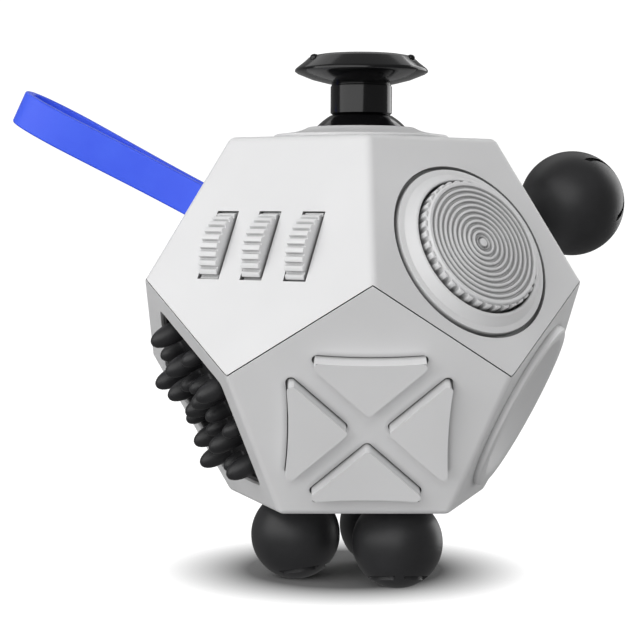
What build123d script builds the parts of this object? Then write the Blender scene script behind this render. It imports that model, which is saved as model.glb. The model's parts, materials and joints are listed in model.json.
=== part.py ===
from build123d import *
from math import atan, cos, degrees, radians, sin, sqrt
import os

# Twelve-sided fidget toy. Millimetres, +Z up, origin on the resting plane under the three ball
# feet, on the upright axis of the case. Front is -Y.

# --- case ---------------------------------------------------------------------------------
ACROSS_FLATS = 45.0
BODY_Z = 32.5  # height of the case centre above the resting plane
WALL = 2.0
EDGE_ROUND = 1.2
SEAM = 0.16  # open line between the two case halves
SEAM_ROUND = 0.35
TONGUE = 1.1  # thickness of the locating tongue inside the wall
TONGUE_REACH = 1.5  # how far the tongue runs above and below the seam
INRADIUS = ACROSS_FLATS / 2
CAVITY = INRADIUS - WALL
FACE_R = INRADIUS * (3 - sqrt(5))  # corner radius of one face
WAIST_R = INRADIUS * (sqrt(5) - 1)  # corner radius of the zigzag waist
WAIST_Z = INRADIUS * (sqrt(5) - 2)
SLOPE = degrees(atan(0.5))  # tilt of the ten side faces from upright
CENTRE = Vector(0, 0, BODY_Z)

# Azimuth and elevation of each face's outward normal, named after what the face carries.
FACES = {
    "joystick": (-90, 90),
    "wheels": (-126, SLOPE),
    "dial": (-54, SLOPE),
    "swivel": (18, SLOPE),
    "rocker": (90, SLOPE),
    "strap": (162, SLOPE),
    "buttons": (-90, -SLOPE),
    "stone": (-18, -SLOPE),
    "roller": (54, -SLOPE),
    "slider": (126, -SLOPE),
    "nubs": (-162, -SLOPE),
    "feet": (-90, -90),
}

# --- backing plates and their screws --------------------------------------------------------
PLATE_T = 1.2
PLATE_R = 12.6
PLATE_TOP = WALL  # depth of the plates that lie against the wall
SCREW_R = 0.5
SCREW_BITE = 0.9  # length of thread in the case
SCREW_HEAD_R = 0.95
SCREW_HEAD_T = 0.6
BOSS_R = 0.95
CLEARANCE = 0.1

# --- joystick -------------------------------------------------------------------------------
PIVOT_DEPTH = 3.5
DOME_R = 7.52
DOME_WALL = 1.0
DOME_TOP = 6.47  # flat top of the dome above the pivot
DOME_PLAY = 0.6  # round the dome in the case wall
DOME_SKIRT = 1.5  # lower edge of the dome above the pivot
STEM_R = 3.84
STEM_TOP = 6.9
CAP_R = 8.3
CAP_RIM = 8.3  # height of the thin rim's lower edge
CAP_RIM_T = 0.45
CAP_FLAT_R = 5.0
CAP_TOP = 10.65
CAP_EDGE = 0.25
HUB = 4.2
HUB_H = 2.6
STICK_POST_R = 1.9
TAIL_R = 1.2
TAIL_LENGTH = 3.6
GIMBAL_R = 4.75
GIMBAL_BORE = 3.5
GIMBAL_H = 1.8
GIMBAL_PIN_R = 0.5
FORK_X = 5.0
FORK_T = 0.7
FORK_W = 2.4
FORK_ABOVE = 1.0  # fork above the pivot
PIN_INSET = 0.2
CENTRING_R = 4.2
CENTRING_BORE = 2.7
CENTRING_H = 1.4
STICK_PLATE_TOP = 7.5
STICK_PLATE_R = 9.9
STICK_SCREW_R = 8.7  # screw circle
COLLAR_R = 10.9
COLLAR_TOP = 1.5
COLLAR_BORE = 5.9
COLLAR_FOOT_BORE = 7.2
COLLAR_WAIST = (6.45, 0.8)  # radius and height halfway up the bore
COLLAR_LIP_R = 6.7
COLLAR_EDGE = (0.35, 0.55)

# --- thumb wheels ---------------------------------------------------------------------------
WHEEL_R = 5.8
WHEEL_W = 2.6
WHEEL_PITCH = 6.2
WHEEL_DEPTH = 4.0  # axle depth below the face
WHEEL_U = -0.6
WHEEL_V = -0.65
WHEEL_TEETH = 34
WHEEL_SLOT_W = 3.15
WHEEL_SLOT_R = 6.0
TOOTH_DEPTH = 0.35
TOOTH_GAP = 0.42
WHEEL_RIB_L = 5.2
WHEEL_RIB_DROP = 3.0
AXLE_SEAT = 1.2  # axle beyond the outer slots
AXLE_R = 1.0
RUNNING = 0.05  # radial play of a bore on its pin

# --- dial -----------------------------------------------------------------------------------
DIAL_V = -1.2
DIAL_R = 8.2
DIAL_TOP = 2.4
DIAL_BASE = -0.6
DIAL_FLUTES = 38
FLUTE_R = 0.36
DIAL_RINGS = 9
RING_FIRST = 1.1
RING_PITCH = 0.72
RING_GROOVE = (0.32, 0.3)  # width and depth
BEZEL_R = 10.6
BEZEL_BORE = 8.5
BEZEL_SEAT_R = 11.1
BEZEL_SEAT = 0.8
BEZEL_TOP = 1.3
BEZEL_STEP_R = 9.8  # where the bezel starts to rise
BEZEL_STEP = 0.25
BEZEL_LIP = 0.25  # width of the bezel's inner lip
SPINDLE_R = 1.5
SPINDLE_BITE = 1.4  # spindle inside the knob
SPINDLE_DEPTH = 5.9
DIAL_HUB_R = 3.2
DIAL_HUB_H = 2.6
CLIP_DEPTH = 4.7
CLIP_R = 2.7
CLIP_T = 0.6

# --- cross buttons --------------------------------------------------------------------------
BUTTON_V = -1.4
BUTTON_TIP = 2.25
BUTTON_OUT = 9.6
BUTTON_MID = 9.2
BUTTON_CORNER = 0.5
BUTTON_SOFT = 0.6
BUTTON_TOP = 1.75
BUTTON_GAP = 0.12
BUTTON_LIP = 0.22
BUTTON_LIP_DEPTH = 2.15
BUTTON_LIP_T = 0.85
BUTTON_STEM_R = 1.3
BUTTON_STEM_AT = 6.2
BUTTON_STEM_L = 2.4
TRAY_TOP = 4.6
TRAY_T = 1.0
TRAY_R = 11.8
MEMBRANE_T = 0.4
MEMBRANE_INSET = 1.2
TRAY_SCREW_AT = 5.66

# --- nub pad --------------------------------------------------------------------------------
NUB_OPENING_R = 12.9
NUB_PAD_DEPTH = 1.5
NUB_FLANGE_R = 13.1
NUB_FLANGE_T = 0.6
BIG_NUB = (1.5, 4.0)  # radius, height
SMALL_NUB = (1.15, 2.9)
BIG_NUB_RINGS = (5.6, 9.7)  # radii of the rings of five
SMALL_NUB_RINGS = (3.3, 8.3)
NUB_SHOULDER = (0.8, 0.55)  # radius and height of the nub's shoulder, as shares

# --- worry stone ----------------------------------------------------------------------------
STONE_R = 11.0
STONE_TOP = 0.9
STONE_DISH_R = 26.0
STONE_DISH = 1.7
STONE_PLUG_R = 8.9
STONE_SOFT = 0.45

# --- ball feet ------------------------------------------------------------------------------
FOOT_R = 5.6
FOOT_FLAT = 5.4  # distance from the ball centre to the small resting flat
FOOT_RISE = 4.6  # ball centre outside the face
FOOT_CIRCLE = 7.99
FOOT_AZIMUTHS = (176.1, 56.1, -63.9)  # on the face seen from outside
FOOT_PIN_R = 1.0
FOOT_HEAD_R = 2.0
FOOT_HEAD_T = 0.9
FOOT_PIN_DEPTH = 4.3
FOOT_SEAT_GAP = 0.25  # between the ball and the case
HEAD_PLAY = 0.15  # round a pin head inside its ball
FOOT_CLIP_R = 2.1

# --- swivel ball ----------------------------------------------------------------------------
SWIVEL_R = 6.8
SWIVEL_RISE = 10.5
NECK_R = 2.2
SWIVEL_HEAD_R = 3.2
SWIVEL_HEAD_T = 1.2
NECK_DEPTH = 4.6
NECK_COLLAR_R = 4.6
NECK_COLLAR_H = 0.9
NUT_R = 3.8
NUT_T = 1.2

# --- strap ----------------------------------------------------------------------------------
STRAP_V = 3.6
STRAP_W = 4.5
STRAP_T = 1.0
STRAP_TIP = 31.2
STRAP_HALF = 3.4  # half width over the band at its widest
STRAP_HALF_AT = 22.0
STRAP_WAIST = 1.75
STRAP_WAIST_AT = 8.5
SEAT_T = 1.3  # pin seats beside the strap and the rocker
SEAT_GAP = 0.3
STRAP_SEAT = 4.0
STRAP_PIN_R = 0.6
STRAP_PIN_DEPTH = 3.0
STRAP_SLOT_HALF = 3.0

# --- rocker, rolling ball and slider --------------------------------------------------------
ROCKER_W = 7.0
ROCKER_L = 11.2
ROCKER_PIN_DEPTH = 2.7
ROCKER_LOW = 1.2  # heights above the pin
ROCKER_END = 4.4
ROCKER_MIDDLE = 3.3
ROCKER_LEAN = 0.3
ROCKER_HUB_R = 2.0
ROCKER_SEAT = (5.0, 3.2)
ROCKER_SIDE_GAP = 0.3
ROCKER_END_GAP = 0.6
FRAME_T = 0.8  # height of the rocker's and slider's frames
FRAME_W = 1.6
ROLLER_R = 5.0
ROLLER_DEPTH = 2.2
ROLLER_GAP = 0.2
ROLLER_RING_R = 8.0
ROLLER_RING_H = 0.9
ROLLER_RING_SOFT = 0.4
ROLLER_CUP_R = 6.6
ROLLER_CUP_H = 6.4
SLIDER_W = 6.0
SLIDER_L = 6.0
SLIDER_TRAVEL = 3.5
SLIDER_LIFT = 0.2  # knob above the face
SLIDER_H = 1.6
SLIDER_RIB = (1.1, 0.4, 0.3)  # pitch, width and depth of the grooves
SLIDER_NECK_W = 3.0
SLIDER_NECK_L = 3.8
SLIDER_FOOT_W = 5.6
SLIDER_FOOT_T = 0.8
SLIDER_FRAME = 2.0
SLIDER_WELL = 6.0


def face_plane(face, height=0.0, u=0.0, v=0.0):
    """Plane parallel to a case face, x to the right seen from outside, y up the slope."""
    azimuth, elevation = (radians(angle) for angle in FACES[face])
    normal = Vector(cos(azimuth) * cos(elevation), sin(azimuth) * cos(elevation), sin(elevation))
    across = Vector(-sin(azimuth), cos(azimuth), 0)
    plane = Plane(origin=CENTRE + normal * (INRADIUS + height), x_dir=across, z_dir=normal)
    return Plane(origin=plane.from_local_coords(Vector(u, v, 0)), x_dir=across, z_dir=normal)


def across_plane(face, height, u, v):
    """Plane square to a case face whose own normal runs along the face's x direction."""
    base = face_plane(face, height, u, v)
    return Plane(origin=base.origin, x_dir=base.y_dir, z_dir=base.x_dir)


def along_plane(face, height, u, v):
    """Plane square to a case face whose own normal runs down the slope, y outward."""
    base = face_plane(face, height, u, v)
    return Plane(origin=base.origin, x_dir=base.x_dir, z_dir=-base.y_dir)


def upright_plane(origin):
    """Upright plane facing the front, x to the right and y up."""
    return Plane(origin=origin, x_dir=(1, 0, 0), z_dir=(0, -1, 0))


def side_plane(origin):
    """Upright plane facing the right, x to the back and y up."""
    return Plane(origin=origin, x_dir=(0, 1, 0), z_dir=(1, 0, 0))


def turned_plane(plane, turn):
    """The same plane with its x direction turned by an angle in degrees."""
    x_dir = plane.x_dir * cos(radians(turn)) + plane.y_dir * sin(radians(turn))
    return Plane(origin=plane.origin, x_dir=x_dir, z_dir=plane.z_dir)


def discs(plane, radius, centres=((0, 0),)):
    """Sketch of equal round discs."""
    with BuildSketch(plane) as sketch:
        with Locations(*centres):
            Circle(radius)
    return sketch.sketch


def ring(plane, outer, inner):
    """Sketch of a flat ring."""
    with BuildSketch(plane) as sketch:
        Circle(outer)
        Circle(inner, mode=Mode.SUBTRACT)
    return sketch.sketch


def block(plane, width, length):
    """Sketch of a rectangle."""
    with BuildSketch(plane) as sketch:
        Rectangle(width, length)
    return sketch.sketch


def pentagon(face, height, radius, corner=1.0):
    """Sketch of a round-cornered pentagon that points the same way as the face."""
    turn = 90 if FACES[face][1] == -SLOPE else -90
    with BuildSketch(face_plane(face, height)) as sketch:
        RegularPolygon(radius, 5, rotation=turn)
        fillet(sketch.vertices(), corner)
    return sketch.sketch


def polar(radius, *angles):
    """Points on a circle."""
    return [(radius * cos(radians(a)), radius * sin(radians(a))) for a in angles]


def dodecahedron(inradius):
    """Solid bounded by the twelve face planes."""
    with BuildPart() as solid:
        with Locations(CENTRE):
            Sphere(2 * inradius)
        for face in FACES:
            split(bisect_by=face_plane(face, inradius - INRADIUS), keep=Keep.BOTTOM)
    return solid.part


def above_parting(lift):
    """Everything above the zigzag parting surface, raised by lift."""
    reach = 1.5
    roof = BODY_Z + 2 * INRADIUS
    waist = []
    for i in range(10):
        turn = radians(-90 + 36 * i)
        rise = WAIST_Z if i % 2 == 0 else -WAIST_Z
        waist.append(CENTRE + Vector(WAIST_R * cos(turn), WAIST_R * sin(turn), rise) * reach)
    up = Vector(0, 0, lift)
    with BuildPart() as solid:
        for a, b in zip(waist, waist[1:] + waist[:1]):
            foot = [CENTRE + up, a + up, b + up]
            ConvexPolyhedron(foot + [Vector(p.X, p.Y, roof) for p in foot])
    return solid.part


SLOPED_CORNERS = polar(11.0, 54, 126, -90)
LOWER_CORNERS = polar(11.0, -54, -126, 90)
TRAY_SCREWS = [(x, BUTTON_V + y) for x in (-TRAY_SCREW_AT, TRAY_SCREW_AT)
               for y in (-TRAY_SCREW_AT, TRAY_SCREW_AT)]

# Depth of the plate's outer side, its thickness and its screw positions, by face.
PLATES = {
    "joystick": (STICK_PLATE_TOP, PLATE_T, polar(STICK_SCREW_R, -90, 54, 126)),
    "wheels": (PLATE_TOP, PLATE_T, polar(10.6, 50, 130, -90)),
    "dial": (PLATE_TOP, PLATE_T, polar(10.9, 54, 126, -90)),
    "swivel": (PLATE_TOP, PLATE_T, SLOPED_CORNERS),
    "rocker": (PLATE_TOP, PLATE_T, SLOPED_CORNERS),
    "strap": (PLATE_TOP, PLATE_T, SLOPED_CORNERS),
    "buttons": (TRAY_TOP, TRAY_T, TRAY_SCREWS),
    "stone": (PLATE_TOP, PLATE_T, LOWER_CORNERS),
    "roller": (PLATE_TOP, PLATE_T, LOWER_CORNERS),
    "slider": (PLATE_TOP, PLATE_T, LOWER_CORNERS),
    "feet": (PLATE_TOP, PLATE_T, polar(10.9, 126, -18, -126)),
}


def plate(face, radius=PLATE_R):
    """Adds the face's backing plate, with its screw holes, to the part being built."""
    depth, thickness, screws = PLATES[face]
    extrude(pentagon(face, -depth, radius), amount=-thickness)
    holes = discs(face_plane(face, -depth), SCREW_R + CLEARANCE, screws)
    extrude(holes, amount=-thickness, mode=Mode.SUBTRACT)


def button_outline(turn, grow=0.0):
    """Sketch on the button face of one three-sided button with a hollow outer side."""
    half = BUTTON_OUT - BUTTON_TIP
    with BuildSketch(turned_plane(face_plane("buttons", 0, 0, BUTTON_V), turn)) as sketch:
        with BuildLine():
            Polyline((BUTTON_OUT, -half), (BUTTON_TIP, 0), (BUTTON_OUT, half))
            ThreePointArc((BUTTON_OUT, half), (BUTTON_MID, 0), (BUTTON_OUT, -half))
        make_face()
        fillet(sketch.vertices(), BUTTON_CORNER)
        if grow:
            offset(amount=grow)
    return sketch.sketch


def strap_profile(inset):
    """Long closed loop round the strap pin, drawn a given distance inside the band's outer side."""
    eye = STRAP_PIN_R + RUNNING + STRAP_T - inset
    waist = STRAP_WAIST - inset
    belly = STRAP_HALF - inset
    tip = STRAP_TIP - inset
    with BuildSketch(along_plane("strap", 0, 0, STRAP_V)) as sketch:
        with BuildLine():
            Spline((-eye, -STRAP_PIN_DEPTH), (-waist, STRAP_WAIST_AT), (-belly, STRAP_HALF_AT),
                   (0, tip), tangents=((0, 1), (1, 0)))
            Spline((0, tip), (belly, STRAP_HALF_AT), (waist, STRAP_WAIST_AT),
                   (eye, -STRAP_PIN_DEPTH), tangents=((1, 0), (0, -1)))
            ThreePointArc((eye, -STRAP_PIN_DEPTH), (0, -STRAP_PIN_DEPTH - eye),
                          (-eye, -STRAP_PIN_DEPTH))
        make_face()
    return sketch.sketch


BUTTON_TURNS = {"right": 0, "upper": 90, "left": 180, "lower": -90}
WHEEL_US = [WHEEL_U + i * WHEEL_PITCH for i in (-1, 0, 1)]
PIVOT = CENTRE + Vector(0, 0, INRADIUS - PIVOT_DEPTH)
SLIDER_SWEEP = SLIDER_L + 2 * SLIDER_TRAVEL
ROCKER_OPENING = (ROCKER_W + 2 * ROCKER_SIDE_GAP, ROCKER_L + 2 * ROCKER_END_GAP)
CASE_PARTS = {"upper_shell": 1, "lower_shell": -1}
FOOT_POINTS = polar(FOOT_CIRCLE, *FOOT_AZIMUTHS)

# --- case halves ----------------------------------------------------------------------------
with BuildPart() as case:
    add(dodecahedron(INRADIUS))
    ribs = case.edges().filter_by(lambda e: abs(e.center().Z - BODY_Z) > WAIST_Z)
    fillet(ribs, EDGE_ROUND)
    waist = case.edges().filter_by(
        lambda e: e.length > FACE_R * 0.8 and abs((e @ 0.5).Z - BODY_Z) < 1
    )
    fillet(waist, SEAM_ROUND)

shell_builders = {}
for half_name, side in CASE_PARTS.items():
    own_side = above_parting(side * SEAM / 2)
    with BuildPart() as half:
        add(case.part)
        add(own_side, mode=Mode.INTERSECT if side > 0 else Mode.SUBTRACT)
        add(dodecahedron(CAVITY), mode=Mode.SUBTRACT)
    shell_builders[half_name] = half.part

with BuildPart() as tongue:
    add(dodecahedron(CAVITY))
    add(dodecahedron(CAVITY - TONGUE), mode=Mode.SUBTRACT)
    add(above_parting(-TONGUE_REACH), mode=Mode.INTERSECT)
    add(above_parting(TONGUE_REACH), mode=Mode.SUBTRACT)


def screw_bosses(faces):
    """Adds the posts of the raised plates and drills every screw's pilot hole."""
    for face in faces:
        depth, _, screws = PLATES[face]
        if depth > WALL:
            extrude(discs(face_plane(face, -depth), BOSS_R, screws), amount=depth - WALL)
    for face in faces:
        depth, _, screws = PLATES[face]
        extrude(discs(face_plane(face, -depth), SCREW_R, screws), amount=SCREW_BITE,
                mode=Mode.SUBTRACT)


with BuildPart() as upper_shell:
    add(shell_builders["upper_shell"])
    add(tongue.part)
    screw_bosses(["joystick", "wheels", "dial", "swivel", "rocker", "strap"])
    extrude(discs(face_plane("joystick"), DOME_R + DOME_PLAY), amount=-WALL, mode=Mode.SUBTRACT)
    for wheel_u in WHEEL_US:
        slot = discs(across_plane("wheels", -WHEEL_DEPTH, wheel_u, WHEEL_V), WHEEL_SLOT_R)
        extrude(slot, amount=WHEEL_SLOT_W / 2, both=True, mode=Mode.SUBTRACT)
    dial_face = face_plane("dial", 0, 0, DIAL_V)
    extrude(discs(dial_face, BEZEL_SEAT_R), amount=-BEZEL_SEAT, mode=Mode.SUBTRACT)
    extrude(discs(dial_face, BEZEL_BORE + 2 * CLEARANCE), amount=-WALL, mode=Mode.SUBTRACT)
    extrude(discs(face_plane("swivel"), NECK_R + CLEARANCE), amount=-WALL, mode=Mode.SUBTRACT)
    extrude(block(face_plane("rocker"), *ROCKER_OPENING), amount=-WALL,
            mode=Mode.SUBTRACT)
    extrude(block(face_plane("strap", 0, 0, STRAP_V), 2 * STRAP_SLOT_HALF, STRAP_W + 2 * SEAT_GAP),
            amount=-WALL, mode=Mode.SUBTRACT)

with BuildPart() as lower_shell:
    add(shell_builders["lower_shell"])
    screw_bosses(["buttons", "stone", "roller", "slider", "feet"])
    for turn in BUTTON_TURNS.values():
        extrude(button_outline(turn, BUTTON_GAP), amount=-WALL, mode=Mode.SUBTRACT)
    extrude(pentagon("nubs", 0, NUB_OPENING_R), amount=-WALL, mode=Mode.SUBTRACT)
    extrude(discs(face_plane("stone"), STONE_PLUG_R + CLEARANCE), amount=-WALL, mode=Mode.SUBTRACT)
    extrude(discs(face_plane("roller"), ROLLER_R + ROLLER_GAP), amount=-WALL,
            mode=Mode.SUBTRACT)
    extrude(block(face_plane("slider"), SLIDER_NECK_W + 2 * CLEARANCE, SLIDER_SWEEP - 2), amount=-WALL,
            mode=Mode.SUBTRACT)
    extrude(discs(face_plane("feet"), FOOT_PIN_R, FOOT_POINTS), amount=-WALL,
            mode=Mode.SUBTRACT)
    for u, v in FOOT_POINTS:
        with Locations(face_plane("feet", FOOT_RISE, u, v)):
            Sphere(FOOT_R + FOOT_SEAT_GAP, mode=Mode.SUBTRACT)

# --- joystick -------------------------------------------------------------------------------
with BuildPart() as stick_dome:
    with Locations(PIVOT):
        Sphere(DOME_R)
        Sphere(DOME_R - DOME_WALL, mode=Mode.SUBTRACT)
    split(bisect_by=Plane(PIVOT).offset(DOME_TOP), keep=Keep.BOTTOM)
    split(bisect_by=Plane(PIVOT).offset(DOME_SKIRT), keep=Keep.TOP)
    extrude(discs(Plane(PIVOT), STICK_POST_R), amount=DOME_TOP)
    extrude(block(Plane(PIVOT), HUB, HUB), amount=HUB_H / 2, both=True)
    extrude(discs(Plane(PIVOT), TAIL_R), amount=-TAIL_LENGTH)
    extrude(discs(upright_plane(PIVOT), GIMBAL_PIN_R), amount=HUB, both=True,
            mode=Mode.SUBTRACT)

with BuildPart() as thumb_cap:
    with BuildSketch(upright_plane(CENTRE + Vector(0, 0, INRADIUS))):
        with BuildLine():
            Polyline(
                (0, DOME_TOP - PIVOT_DEPTH),
                (STEM_R, DOME_TOP - PIVOT_DEPTH),
                (STEM_R, STEM_TOP),
                (CAP_R, CAP_RIM),
                (CAP_R, CAP_RIM + CAP_RIM_T),
                (CAP_FLAT_R + 1.6 * CAP_EDGE, CAP_TOP - CAP_EDGE),
                (CAP_FLAT_R, CAP_TOP),
                (0, CAP_TOP),
                close=True,
            )
        make_face()
    revolve(axis=Axis.Z)

with BuildPart() as gimbal_ring:
    extrude(ring(Plane(PIVOT), GIMBAL_R, GIMBAL_BORE), amount=GIMBAL_H / 2, both=True)
    for crosswise in (upright_plane(PIVOT), side_plane(PIVOT)):
        extrude(discs(crosswise, GIMBAL_PIN_R + RUNNING), amount=GIMBAL_R, both=True,
                mode=Mode.SUBTRACT)

with BuildPart() as stick_pins:
    extrude(discs(upright_plane(PIVOT), GIMBAL_PIN_R), amount=GIMBAL_R - PIN_INSET,
            both=True)

with BuildPart() as gimbal_pins:
    for side in (-1, 1):
        start = PIVOT + Vector(side * (FORK_X + FORK_T), 0, 0)
        extrude(discs(Plane(origin=start, z_dir=(-side, 0, 0)), GIMBAL_PIN_R),
                amount=FORK_X + FORK_T - GIMBAL_BORE - PIN_INSET)

with BuildPart() as joystick_base:
    plate("joystick", STICK_PLATE_R)
    floor_z = PIVOT.Z + PIVOT_DEPTH - STICK_PLATE_TOP
    for side in (-1, 1):
        foot = Vector(side * (FORK_X + FORK_T / 2), 0, floor_z)
        extrude(block(Plane(foot), FORK_T, FORK_W), amount=PIVOT.Z + FORK_ABOVE - floor_z)
    extrude(discs(side_plane(PIVOT), GIMBAL_PIN_R), amount=FORK_X + FORK_T,
            both=True, mode=Mode.SUBTRACT)

with BuildPart() as centring_ring:
    extrude(ring(Plane(Vector(0, 0, floor_z)), CENTRING_R, CENTRING_BORE), amount=CENTRING_H)

with BuildPart() as joystick_bezel:
    with BuildSketch(upright_plane(CENTRE + Vector(0, 0, INRADIUS))):
        with BuildLine():
            Polyline((COLLAR_FOOT_BORE, 0), (COLLAR_R, 0), (COLLAR_R, COLLAR_EDGE[0]),
                     (COLLAR_R - 0.3, COLLAR_EDGE[1]), (COLLAR_LIP_R, COLLAR_TOP),
                     (COLLAR_BORE, COLLAR_TOP))
            ThreePointArc((COLLAR_BORE, COLLAR_TOP), COLLAR_WAIST, (COLLAR_FOOT_BORE, 0))
        make_face()
    revolve(axis=Axis.Z)

# --- thumb wheels ---------------------------------------------------------------------------
WHEEL_NAMES = ["left_wheel", "middle_wheel", "right_wheel"]
wheels = {}
for wheel_name, wheel_u in zip(WHEEL_NAMES, WHEEL_US):
    with BuildPart() as wheel:
        with BuildSketch(across_plane("wheels", -WHEEL_DEPTH, wheel_u, WHEEL_V)):
            Circle(WHEEL_R)
            Circle(AXLE_R + RUNNING, mode=Mode.SUBTRACT)
            with PolarLocations(WHEEL_R, WHEEL_TEETH):
                Rectangle(2 * TOOTH_DEPTH, TOOTH_GAP, mode=Mode.SUBTRACT)
        extrude(amount=WHEEL_W / 2, both=True)
    wheels[wheel_name] = wheel.part

AXLE_HALF = WHEEL_PITCH + WHEEL_SLOT_W / 2 + AXLE_SEAT
with BuildPart() as wheel_axle:
    extrude(discs(across_plane("wheels", -WHEEL_DEPTH, WHEEL_U, WHEEL_V), AXLE_R),
            amount=AXLE_HALF, both=True)

with BuildPart() as wheel_carrier:
    plate("wheels")
    rib_top = face_plane("wheels", -PLATE_TOP - PLATE_T)
    with BuildSketch(rib_top):
        with Locations((WHEEL_U, WHEEL_V)):
            Rectangle(2 * AXLE_HALF, WHEEL_RIB_L)
    extrude(amount=-WHEEL_RIB_DROP)
    for wheel_u in WHEEL_US:
        slot = discs(across_plane("wheels", -WHEEL_DEPTH, wheel_u, WHEEL_V), WHEEL_SLOT_R)
        extrude(slot, amount=WHEEL_SLOT_W / 2, both=True, mode=Mode.SUBTRACT)
    extrude(discs(across_plane("wheels", -WHEEL_DEPTH, WHEEL_U, WHEEL_V), AXLE_R),
            amount=AXLE_HALF, both=True, mode=Mode.SUBTRACT)

# --- dial -----------------------------------------------------------------------------------
with BuildPart() as dial_knob:
    with BuildSketch(face_plane("dial", DIAL_BASE, 0, DIAL_V)):
        Circle(DIAL_R)
        with PolarLocations(DIAL_R + 0.08, DIAL_FLUTES):
            Circle(FLUTE_R, mode=Mode.SUBTRACT)
    extrude(amount=DIAL_TOP - DIAL_BASE)
    for i in range(DIAL_RINGS):
        groove = RING_FIRST + i * RING_PITCH
        extrude(ring(face_plane("dial", DIAL_TOP, 0, DIAL_V), groove + RING_GROOVE[0], groove),
                amount=-RING_GROOVE[1], mode=Mode.SUBTRACT)
    extrude(discs(face_plane("dial", DIAL_BASE, 0, DIAL_V), SPINDLE_R), amount=SPINDLE_BITE,
            mode=Mode.SUBTRACT)

with BuildPart() as dial_spindle:
    extrude(discs(face_plane("dial", DIAL_BASE + SPINDLE_BITE, 0, DIAL_V), SPINDLE_R),
            amount=-(DIAL_BASE + SPINDLE_BITE + SPINDLE_DEPTH))

with BuildPart() as dial_base:
    plate("dial")
    extrude(discs(face_plane("dial", -PLATE_TOP, 0, DIAL_V), DIAL_HUB_R), amount=-DIAL_HUB_H)
    extrude(discs(face_plane("dial", 0, 0, DIAL_V), SPINDLE_R + RUNNING), amount=-SPINDLE_DEPTH,
            mode=Mode.SUBTRACT)

with BuildPart() as dial_clip:
    extrude(ring(face_plane("dial", -CLIP_DEPTH, 0, DIAL_V), CLIP_R, SPINDLE_R), amount=-CLIP_T)

with BuildPart() as dial_bezel:
    seat = along_plane("dial", 0, 0, DIAL_V)
    with BuildSketch(seat):
        with BuildLine():
            Polyline((BEZEL_BORE, -BEZEL_SEAT), (BEZEL_R, -BEZEL_SEAT), (BEZEL_R, BEZEL_STEP - 0.15),
                     (BEZEL_R - 0.15, BEZEL_STEP), (BEZEL_STEP_R, BEZEL_STEP),
                     (BEZEL_BORE + BEZEL_LIP, BEZEL_TOP), (BEZEL_BORE, BEZEL_TOP), close=True)
        make_face()
    revolve(axis=Axis(seat.origin, seat.y_dir))

# --- cross buttons --------------------------------------------------------------------------
buttons = {}
for side_name, turn in BUTTON_TURNS.items():
    with BuildPart() as button:
        cap_outline = button_outline(turn)
        extrude(cap_outline, amount=BUTTON_TOP)
        fillet(button.faces().sort_by(Axis(cap_outline.center(), face_plane("buttons").z_dir))[-1]
               .edges(), BUTTON_SOFT)
        extrude(cap_outline, amount=-BUTTON_LIP_DEPTH)
        lip = button_outline(turn, BUTTON_LIP)
        drop = face_plane("buttons").z_dir
        lip_sketch = lip.moved(Location(drop * -BUTTON_LIP_DEPTH))
        extrude(lip_sketch, amount=-BUTTON_LIP_T)
        stem_at = polar(BUTTON_STEM_AT, turn)[0]
        lip_floor = face_plane("buttons", -BUTTON_LIP_DEPTH - BUTTON_LIP_T, 0, BUTTON_V)
        extrude(discs(lip_floor, BUTTON_STEM_R, [stem_at]), amount=-BUTTON_STEM_L)
    buttons[side_name + "_button"] = button.part

STEM_POINTS = [polar(BUTTON_STEM_AT, turn)[0] for turn in BUTTON_TURNS.values()]
with BuildPart() as button_tray:
    plate("buttons", TRAY_R)
    extrude(discs(face_plane("buttons", -TRAY_TOP, 0, BUTTON_V), BUTTON_STEM_R + CLEARANCE,
                  STEM_POINTS), amount=-TRAY_T, mode=Mode.SUBTRACT)

with BuildPart() as button_membrane:
    extrude(pentagon("buttons", -TRAY_TOP, TRAY_R - MEMBRANE_INSET), amount=MEMBRANE_T)
    extrude(discs(face_plane("buttons", -TRAY_TOP, 0, BUTTON_V), BUTTON_STEM_R + 2 * CLEARANCE,
                  STEM_POINTS), amount=MEMBRANE_T, mode=Mode.SUBTRACT)
    extrude(discs(face_plane("buttons", -TRAY_TOP), BOSS_R + CLEARANCE, TRAY_SCREWS),
            amount=MEMBRANE_T, mode=Mode.SUBTRACT)

# --- nub pad --------------------------------------------------------------------------------
NUB_PLACES = {
    BIG_NUB: [(0, 0)] + [p for r in BIG_NUB_RINGS for p in polar(r, *range(90, 450, 72))],
    SMALL_NUB: [p for r in SMALL_NUB_RINGS for p in polar(r, *range(54, 414, 72))],
}
nubs = {}
for nub_radius, nub_height in NUB_PLACES:
    with BuildPart() as nub:
        with BuildSketch(Plane.XZ):
            with BuildLine():
                Line((0, 0), (nub_radius, 0))
                shoulder = (NUB_SHOULDER[0] * nub_radius, NUB_SHOULDER[1] * nub_height)
                Spline((nub_radius, 0), shoulder, (0, nub_height),
                       tangents=((0, 1), (-1, 0)))
                Line((0, nub_height), (0, 0))
            make_face()
        revolve(axis=Axis.Z)
    nubs[(nub_radius, nub_height)] = nub.part

with BuildPart() as nub_pad:
    extrude(pentagon("nubs", -NUB_PAD_DEPTH, NUB_OPENING_R - 2 * CLEARANCE), amount=NUB_PAD_DEPTH - WALL)
    extrude(pentagon("nubs", -WALL, NUB_FLANGE_R), amount=-NUB_FLANGE_T)
    for nub_size, places in NUB_PLACES.items():
        for u, v in places:
            add(nubs[nub_size].moved(face_plane("nubs", -NUB_PAD_DEPTH, u, v).location))

with BuildPart() as nub_backplate:
    extrude(pentagon("nubs", -WALL - NUB_FLANGE_T, NUB_FLANGE_R - 4 * CLEARANCE), amount=-PLATE_T)

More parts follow.
